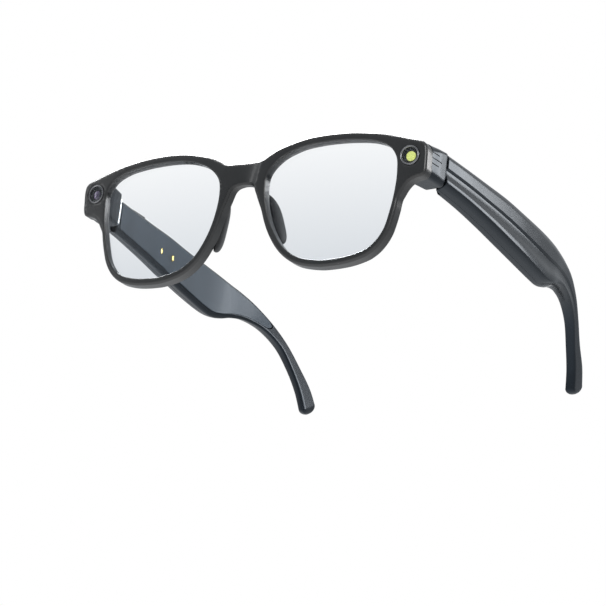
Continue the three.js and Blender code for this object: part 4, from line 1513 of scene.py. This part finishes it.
@dataclass
class Temples:
    """The two temples: scooped shells with a grooved outer face, and their inner covers."""

    stations: int = 230
    cover_end: float = 0.716
    end: float = 0.985
    tip_reach: float = 2.9
    stud_share: float = 0.178
    stud_rise: float = 7.1
    stud_pitch: float = 7.8

    def skin(self, s: float, shrink: float = 1.0) -> list[Point3]:
        """The outer skin at one share of the way along.

        Args:
            s: Share of the way along.
            shrink: Scale about the section's middle.

        Returns:
            The closed loop.
        """
        at = station(s)
        h, edge = at.height, min(1.0, at.height / 12)
        deep = 1 - easing(s, 0.6, 0.78)

        def sunk(share: float, amount: float) -> float:
            """A share of the half thickness, pulled in by the scoop."""
            return 1 - (1 - share) * amount

        corners = [
            (-0.72, -0.95 * edge, 0.9), (-0.12, -0.42 * edge, 0.1), (-0.1, -0.42 * edge + 0.12 * deep, 0.02),
            (-0.06, -0.4 * edge, 0.1), (0.55, 0.35 * edge, 0.7), (0.93, 1.35 * edge, 0.8),
            (1.0, 0.2 * h, 0.9), (sunk(0.93, deep), 0.28 * h, 0.8), (sunk(0.79, deep), 0.38 * h, 1.2),
            (sunk(0.74, deep), 0.48 * h, 0.7), (sunk(0.76, deep), 0.535 * h, 0.3), (1.0, 0.568 * h, 0.16),
            (1.0, 0.86 * h, 0.9), (0.66, 0.985 * h, 0.7), (0.0, h, 0.9), (-0.66, 0.985 * h, 0.6),
            (-1.0, 0.88 * h, 0.6), (-1.0, 0.08 * h, 0.7),
        ]
        loop = filleted([(a * at.half(r), r) for a, r, _ in corners], [c[2] for c in corners], 4)
        return [at.spot(x * shrink, h / 2 + (r - h / 2) * shrink) for x, r in loop]

    def surface(self) -> Surface:
        """The solid temple, rounded off at its tip.

        Returns:
            The surface in mm, drawn for the left side.
        """
        steps = [self.end * k / self.stations for k in range(self.stations + 1)]
        loops = [self.skin(0.0, 0.985), *[self.skin(s) for s in steps]]
        loops[1] = [(x, y + 0.12, z) for x, y, z in loops[1]]
        last = station(self.end)
        way = (-last.up[1], last.up[0])
        sign = 1 if way[1] < 0 else -1
        for k in range(1, 13):
            turn = math.sin(math.pi / 2 * k / 12.4)
            shrink, reach = math.sqrt(1 - turn ** 2), self.tip_reach * turn
            loops.append([(x, y + sign * way[0] * reach, z + sign * way[1] * reach)
                          for x, y, z in self.skin(self.end, shrink)])
        return Surface().loft(loops)

    def strip(self, start: float, end: float, x_range: tuple[float, float], margin: float,
              blunt: float) -> Surface:
        """A strip along the temple's inner side, its rear end rounded.

        Args:
            start: Share of the way where it starts.
            end: Share of the way where it ends.
            x_range: mm out from the temple's inner face, from and to.
            margin: mm left clear at the top and the bottom.
            blunt: Rounding of the strip's inner edges.

        Returns:
            The strip.
        """
        loops = []
        count = 170
        for k in range(count + 1):
            s = start + (end - start) * (1 - (1 - k / count) ** 1.35)
            at = station(s)
            half = at.height / 2 - margin
            left = (end - s) * S.temple_length
            arch = math.sqrt(max(half ** 2 - max(half - left, 0) ** 2, 0.0009))
            inset = half - arch if left < half else 0.0
            lo, hi = margin + inset, at.height - margin - inset
            b = min(blunt, 0.3 * (hi - lo))
            section = [(x_range[0], lo + b), (x_range[0] + b, lo), (x_range[1], lo), (x_range[1], hi),
                       (x_range[0] + b, hi), (x_range[0], hi - b)]
            loops.append([at.spot(-at.half(r) + x, r) for x, r in section])
        return Surface().loft(loops)

    def room(self) -> list[Surface]:
        """Space for the hinge in the shell and its cover.

        Returns:
            The blocks to cut with.
        """
        reach = S.hinge_x + 2.0
        tall = S.hinge_height / 2 - 1.3
        return [
            box((50, 0, -40), (reach, S.hinge_y + 2.0, 40)),
            box((50, 0, S.hinge_z - tall), (S.hinge_x + 3.7, S.hinge_y + 11.3, S.hinge_z + tall)),
        ]

    def capsule(self, length: float, width: float, levels: Sequence[tuple[float, float]]) -> Surface:
        """A round-ended bar on the temple's top edge.

        Args:
            length: Its length along Y.
            width: Its width.
            levels: Height over the edge and inset, from the foot up.

        Returns:
            The bar.
        """
        at = station(0.1)
        x, y, z = at.spot(-0.1, at.height)
        loops = []
        for height, inset in levels:
            r = width / 2 - inset
            straight = length / 2 - width / 2
            loop = []
            for k in range(48):
                turn = 2 * math.pi * (k + 0.5) / 48
                c, s = math.cos(turn), math.sin(turn)
                loop.append((x + r * s, y + math.copysign(straight, c) + r * c, z + height))
            loops.append(loop)
        return Surface().loft(loops)

    def stud_spot(self) -> Point3:
        """The middle of the front charging contact, on the temple's inner face."""
        at = station(self.stud_share)
        return at.spot(-at.half(self.stud_rise), self.stud_rise)

    def studs(self) -> bpy.types.Object:
        """The two charging contacts: domed ovals through the right cover.

        Returns:
            Both contacts as one object.
        """
        x, y, z = self.stud_spot()
        loops = []
        dome = ((1.3, 1.0), (0.0, 1.0), (-0.06, 0.94), (-0.09, 0.8), (-0.1, 0.5), (-0.102, 0.05))
        for depth, share in dome:
            loops.append([(x + depth, y + 0.75 * share * math.cos(math.pi * k / 20),
                           z + 1.25 * share * math.sin(math.pi * k / 20)) for k in range(40)])
        item = solid("charge_contacts_domed", Surface().loft(loops), Side.RIGHT)
        return Row("contacts", 2, (0.0, self.stud_pitch, 0.0)).lay(item, "contact_gold")

    def dress(self) -> None:
        """Builds shells, covers, button and contacts."""
        for side in Side:
            word = side.word
            shell = solid(f"temple_shell_{word}_moulding", self.surface(), side)
            bay = self.strip(S.bay_start, S.bay_end, (-2.0, 2 * 1.9), S.lip, 0.0)
            tools = [solid("bay_cutter", bay, side), *[solid("room_cutter", r, side) for r in self.room()]]
            if side is Side.RIGHT:
                slot = self.capsule(9.3, 2.1, [(-4.0, 0.0), (3.0, 0.0)])
                tools.append(solid("slot_cutter", slot, side))
            cut(shell, tools)
            finish_piece(shell, "temple_nylon", side.body, [f"temple_shell_{word}"], 38)
            strip = self.strip(S.bay_start + 0.002, self.cover_end, (0.0, S.cover), S.lip + 0.12, 0.18)
            cover = solid(f"temple_cover_{word}_moulding", strip, side)
            tools = [solid("room_cutter", self.room()[0], side)]
            if side is Side.RIGHT:
                x, y, z = self.stud_spot()
                for step in (0, 1):
                    loops = [[(x + d, y + step * self.stud_pitch + 0.8 * math.cos(math.pi * k / 16),
                               z + 1.3 * math.sin(math.pi * k / 16)) for k in range(32)] for d in (-2.0, 3.0)]
                    tools.append(solid("stud_hole", Surface().loft(loops), side))
            cut(cover, tools)
            finish_piece(cover, "cover_nylon", side.body, [f"temple_cover_{word}"], 38)
        levels = [(-2.4, 0.0), (-1.9, 0.0), (0.35, 0.0), (0.5, 0.06), (0.58, 0.16), (0.61, 0.32), (0.62, 0.6)]
        button = solid("capture_button_cap", self.capsule(9.0, 1.8, levels), Side.RIGHT)
        finish_piece(button, "black_plastic", "capture_button", ["capture_button"], 40)
        finish_piece(self.studs(), "contact_gold", "right_temple",
                     ["charge_contact_front", "charge_contact_rear"], 40)


# ------------------------------------------------------------------------------ what stays as packed
KEPT: dict[str, str] = {
    "brow_cover": "frame_nylon", "front_flex_cable": "flex_copper", "lamp_board": "circuit_board",
    "camera_board": "circuit_board", "frame_hinge_leaf": "hinge_steel", "temple_hinge_leaf": "hinge_steel",
    "tail_core": "hinge_steel", "battery": "battery_foil", "speaker": "black_plastic",
    "power_board": "circuit_board", "main_board": "circuit_board", "touch_board": "circuit_board",
    "button_switch": "black_plastic",
}


def dress_kept() -> None:
    """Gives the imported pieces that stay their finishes."""
    for name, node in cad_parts.items():
        for start, finish in KEPT.items():
            if name.startswith(start):
                for place in node.material_slots:
                    place.material = FINISH[finish]
                LOG.info("%s keeps its packed shape, finished in %s", name, finish)


# ------------------------------------------------------------------------------ light and camera
@dataclass
class Studio:
    """A pale floor, soft boxes and the camera."""

    floor_z: float = -1.0
    position: Point3 = (0.5626, -0.89123, -0.36157)
    right: Point3 = (0.8534, 0.5094, 0.1107)
    up: Point3 = (0.0837, -0.3437, 0.9354)
    forward: Point3 = (-0.5145, 0.7890, 0.3360)
    lens: float = 178.2

    def floor(self) -> None:
        """Lays the floor well below the glasses."""
        mesh = bpy.data.meshes.new("studio_floor")
        r = 12.0
        corners = [(x, y, self.floor_z) for x, y in ((-r, -r), (r, -r), (r, r), (-r, r))]
        mesh.from_pydata(corners, [], [(0, 1, 2, 3)])
        material, tree = blank("pale_floor")
        shader = put(tree, "ShaderNodeBsdfPrincipled", inputs={
            "Base Color": linear("f2f2f2"), "Roughness": 0.8})
        put(tree, "ShaderNodeOutputMaterial", inputs={"Surface": shader.outputs["BSDF"]})
        mesh.materials.append(material)
        link("studio_floor", mesh)

    def world(self) -> None:
        """A pale surround, a little darker towards the ground, with a white backdrop behind the glasses."""
        world = bpy.data.worlds.new("white_surround")
        world.use_nodes = True
        world.node_tree.nodes.clear()
        tree = world.node_tree
        way = put(tree, "ShaderNodeTexCoord").outputs["Generated"]
        height = put(tree, "ShaderNodeSeparateXYZ", inputs={"Vector": way})
        share = put(tree, "ShaderNodeMapRange", inputs={
            "Value": height.outputs["Z"], "From Min": -0.4, "From Max": 1.0})
        shades = ramp(tree, share.outputs["Result"], [
            (0.0, linear("9a9fa4")), (0.27, linear("a2a7ac")), (0.45, linear("b4b9be")),
            (1.0, linear("eef1f4"))])
        behind = put(tree, "ShaderNodeVectorMath", {"operation": "DOT_PRODUCT"}, {0: way, 1: self.forward})
        near = put(tree, "ShaderNodeMapRange", inputs={
            "Value": behind.outputs["Value"], "From Min": 0.93, "From Max": 0.978})
        mixed = put(tree, "ShaderNodeMix", {"data_type": "RGBA"}, {
            "Factor": near.outputs["Result"], 6: shades, 7: linear("ffffff")})
        sky = put(tree, "ShaderNodeBackground", inputs={"Color": mixed.outputs[2], "Strength": 1.0})
        put(tree, "ShaderNodeOutputWorld", inputs={"Surface": sky.outputs["Background"]})
        bpy.context.scene.world = world

    def softbox(self, name: str, place: Point3, size: tuple[float, float], power: float) -> None:
        """Hangs a soft box that faces the glasses.

        Args:
            name: The light's name.
            place: Where it hangs, in metres.
            size: Its width and height in metres.
            power: Its power in watts.
        """
        light = bpy.data.lights.new(name, "AREA")
        light.shape = "RECTANGLE"
        light.size, light.size_y = size
        light.energy = power
        lamp = bpy.data.objects.new(name, light)
        bpy.context.scene.collection.objects.link(lamp)
        lamp.location = place
        lamp.rotation_euler = (Vector((0, 0, 0.02)) - Vector(place)).to_track_quat("-Z", "Y").to_euler()

    def camera(self) -> None:
        """Sets the camera up."""
        data = bpy.data.cameras.new("camera")
        data.lens = self.lens
        data.sensor_width = 36
        data.clip_start = 0.05
        eye = bpy.data.objects.new("camera", data)
        bpy.context.scene.collection.objects.link(eye)
        turn = Matrix((self.right, self.up, tuple(-v for v in self.forward))).transposed().to_quaternion()
        eye.matrix_world = Matrix.Translation(self.position) @ turn.to_matrix().to_4x4()
        bpy.context.scene.camera = eye

    def set_up(self) -> None:
        """Sets everything up."""
        self.floor()
        self.world()
        self.softbox("overhead_box", (-0.6, 0.3, 1.0), (1.0, 0.6), 30.0)
        self.softbox("temple_box", (0.72, 0.70, 0.46), (0.36, 0.36), 2.6)
        self.softbox("bridge_strip", (-1.0, -0.72, 0.42), (0.16, 0.9), 0.8)
        self.softbox("side_strip", (1.0, -0.72, 0.45), (0.25, 0.9), 4.0)
        self.camera()
        bpy.context.scene.view_settings.view_transform = "Standard"


def main() -> None:
    """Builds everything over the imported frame."""
    logging.basicConfig(level=logging.INFO)
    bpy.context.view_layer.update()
    outline = Outline()
    parts = (
        FrontFrame(outline), LensPair(outline), NosePads(), Ports(), EndBlocks(), Hinges(), Temples(),
    )
    for part in parts:
        part.dress()
    dress_kept()
    Studio().set_up()


if __name__ == "__main__":
    main()
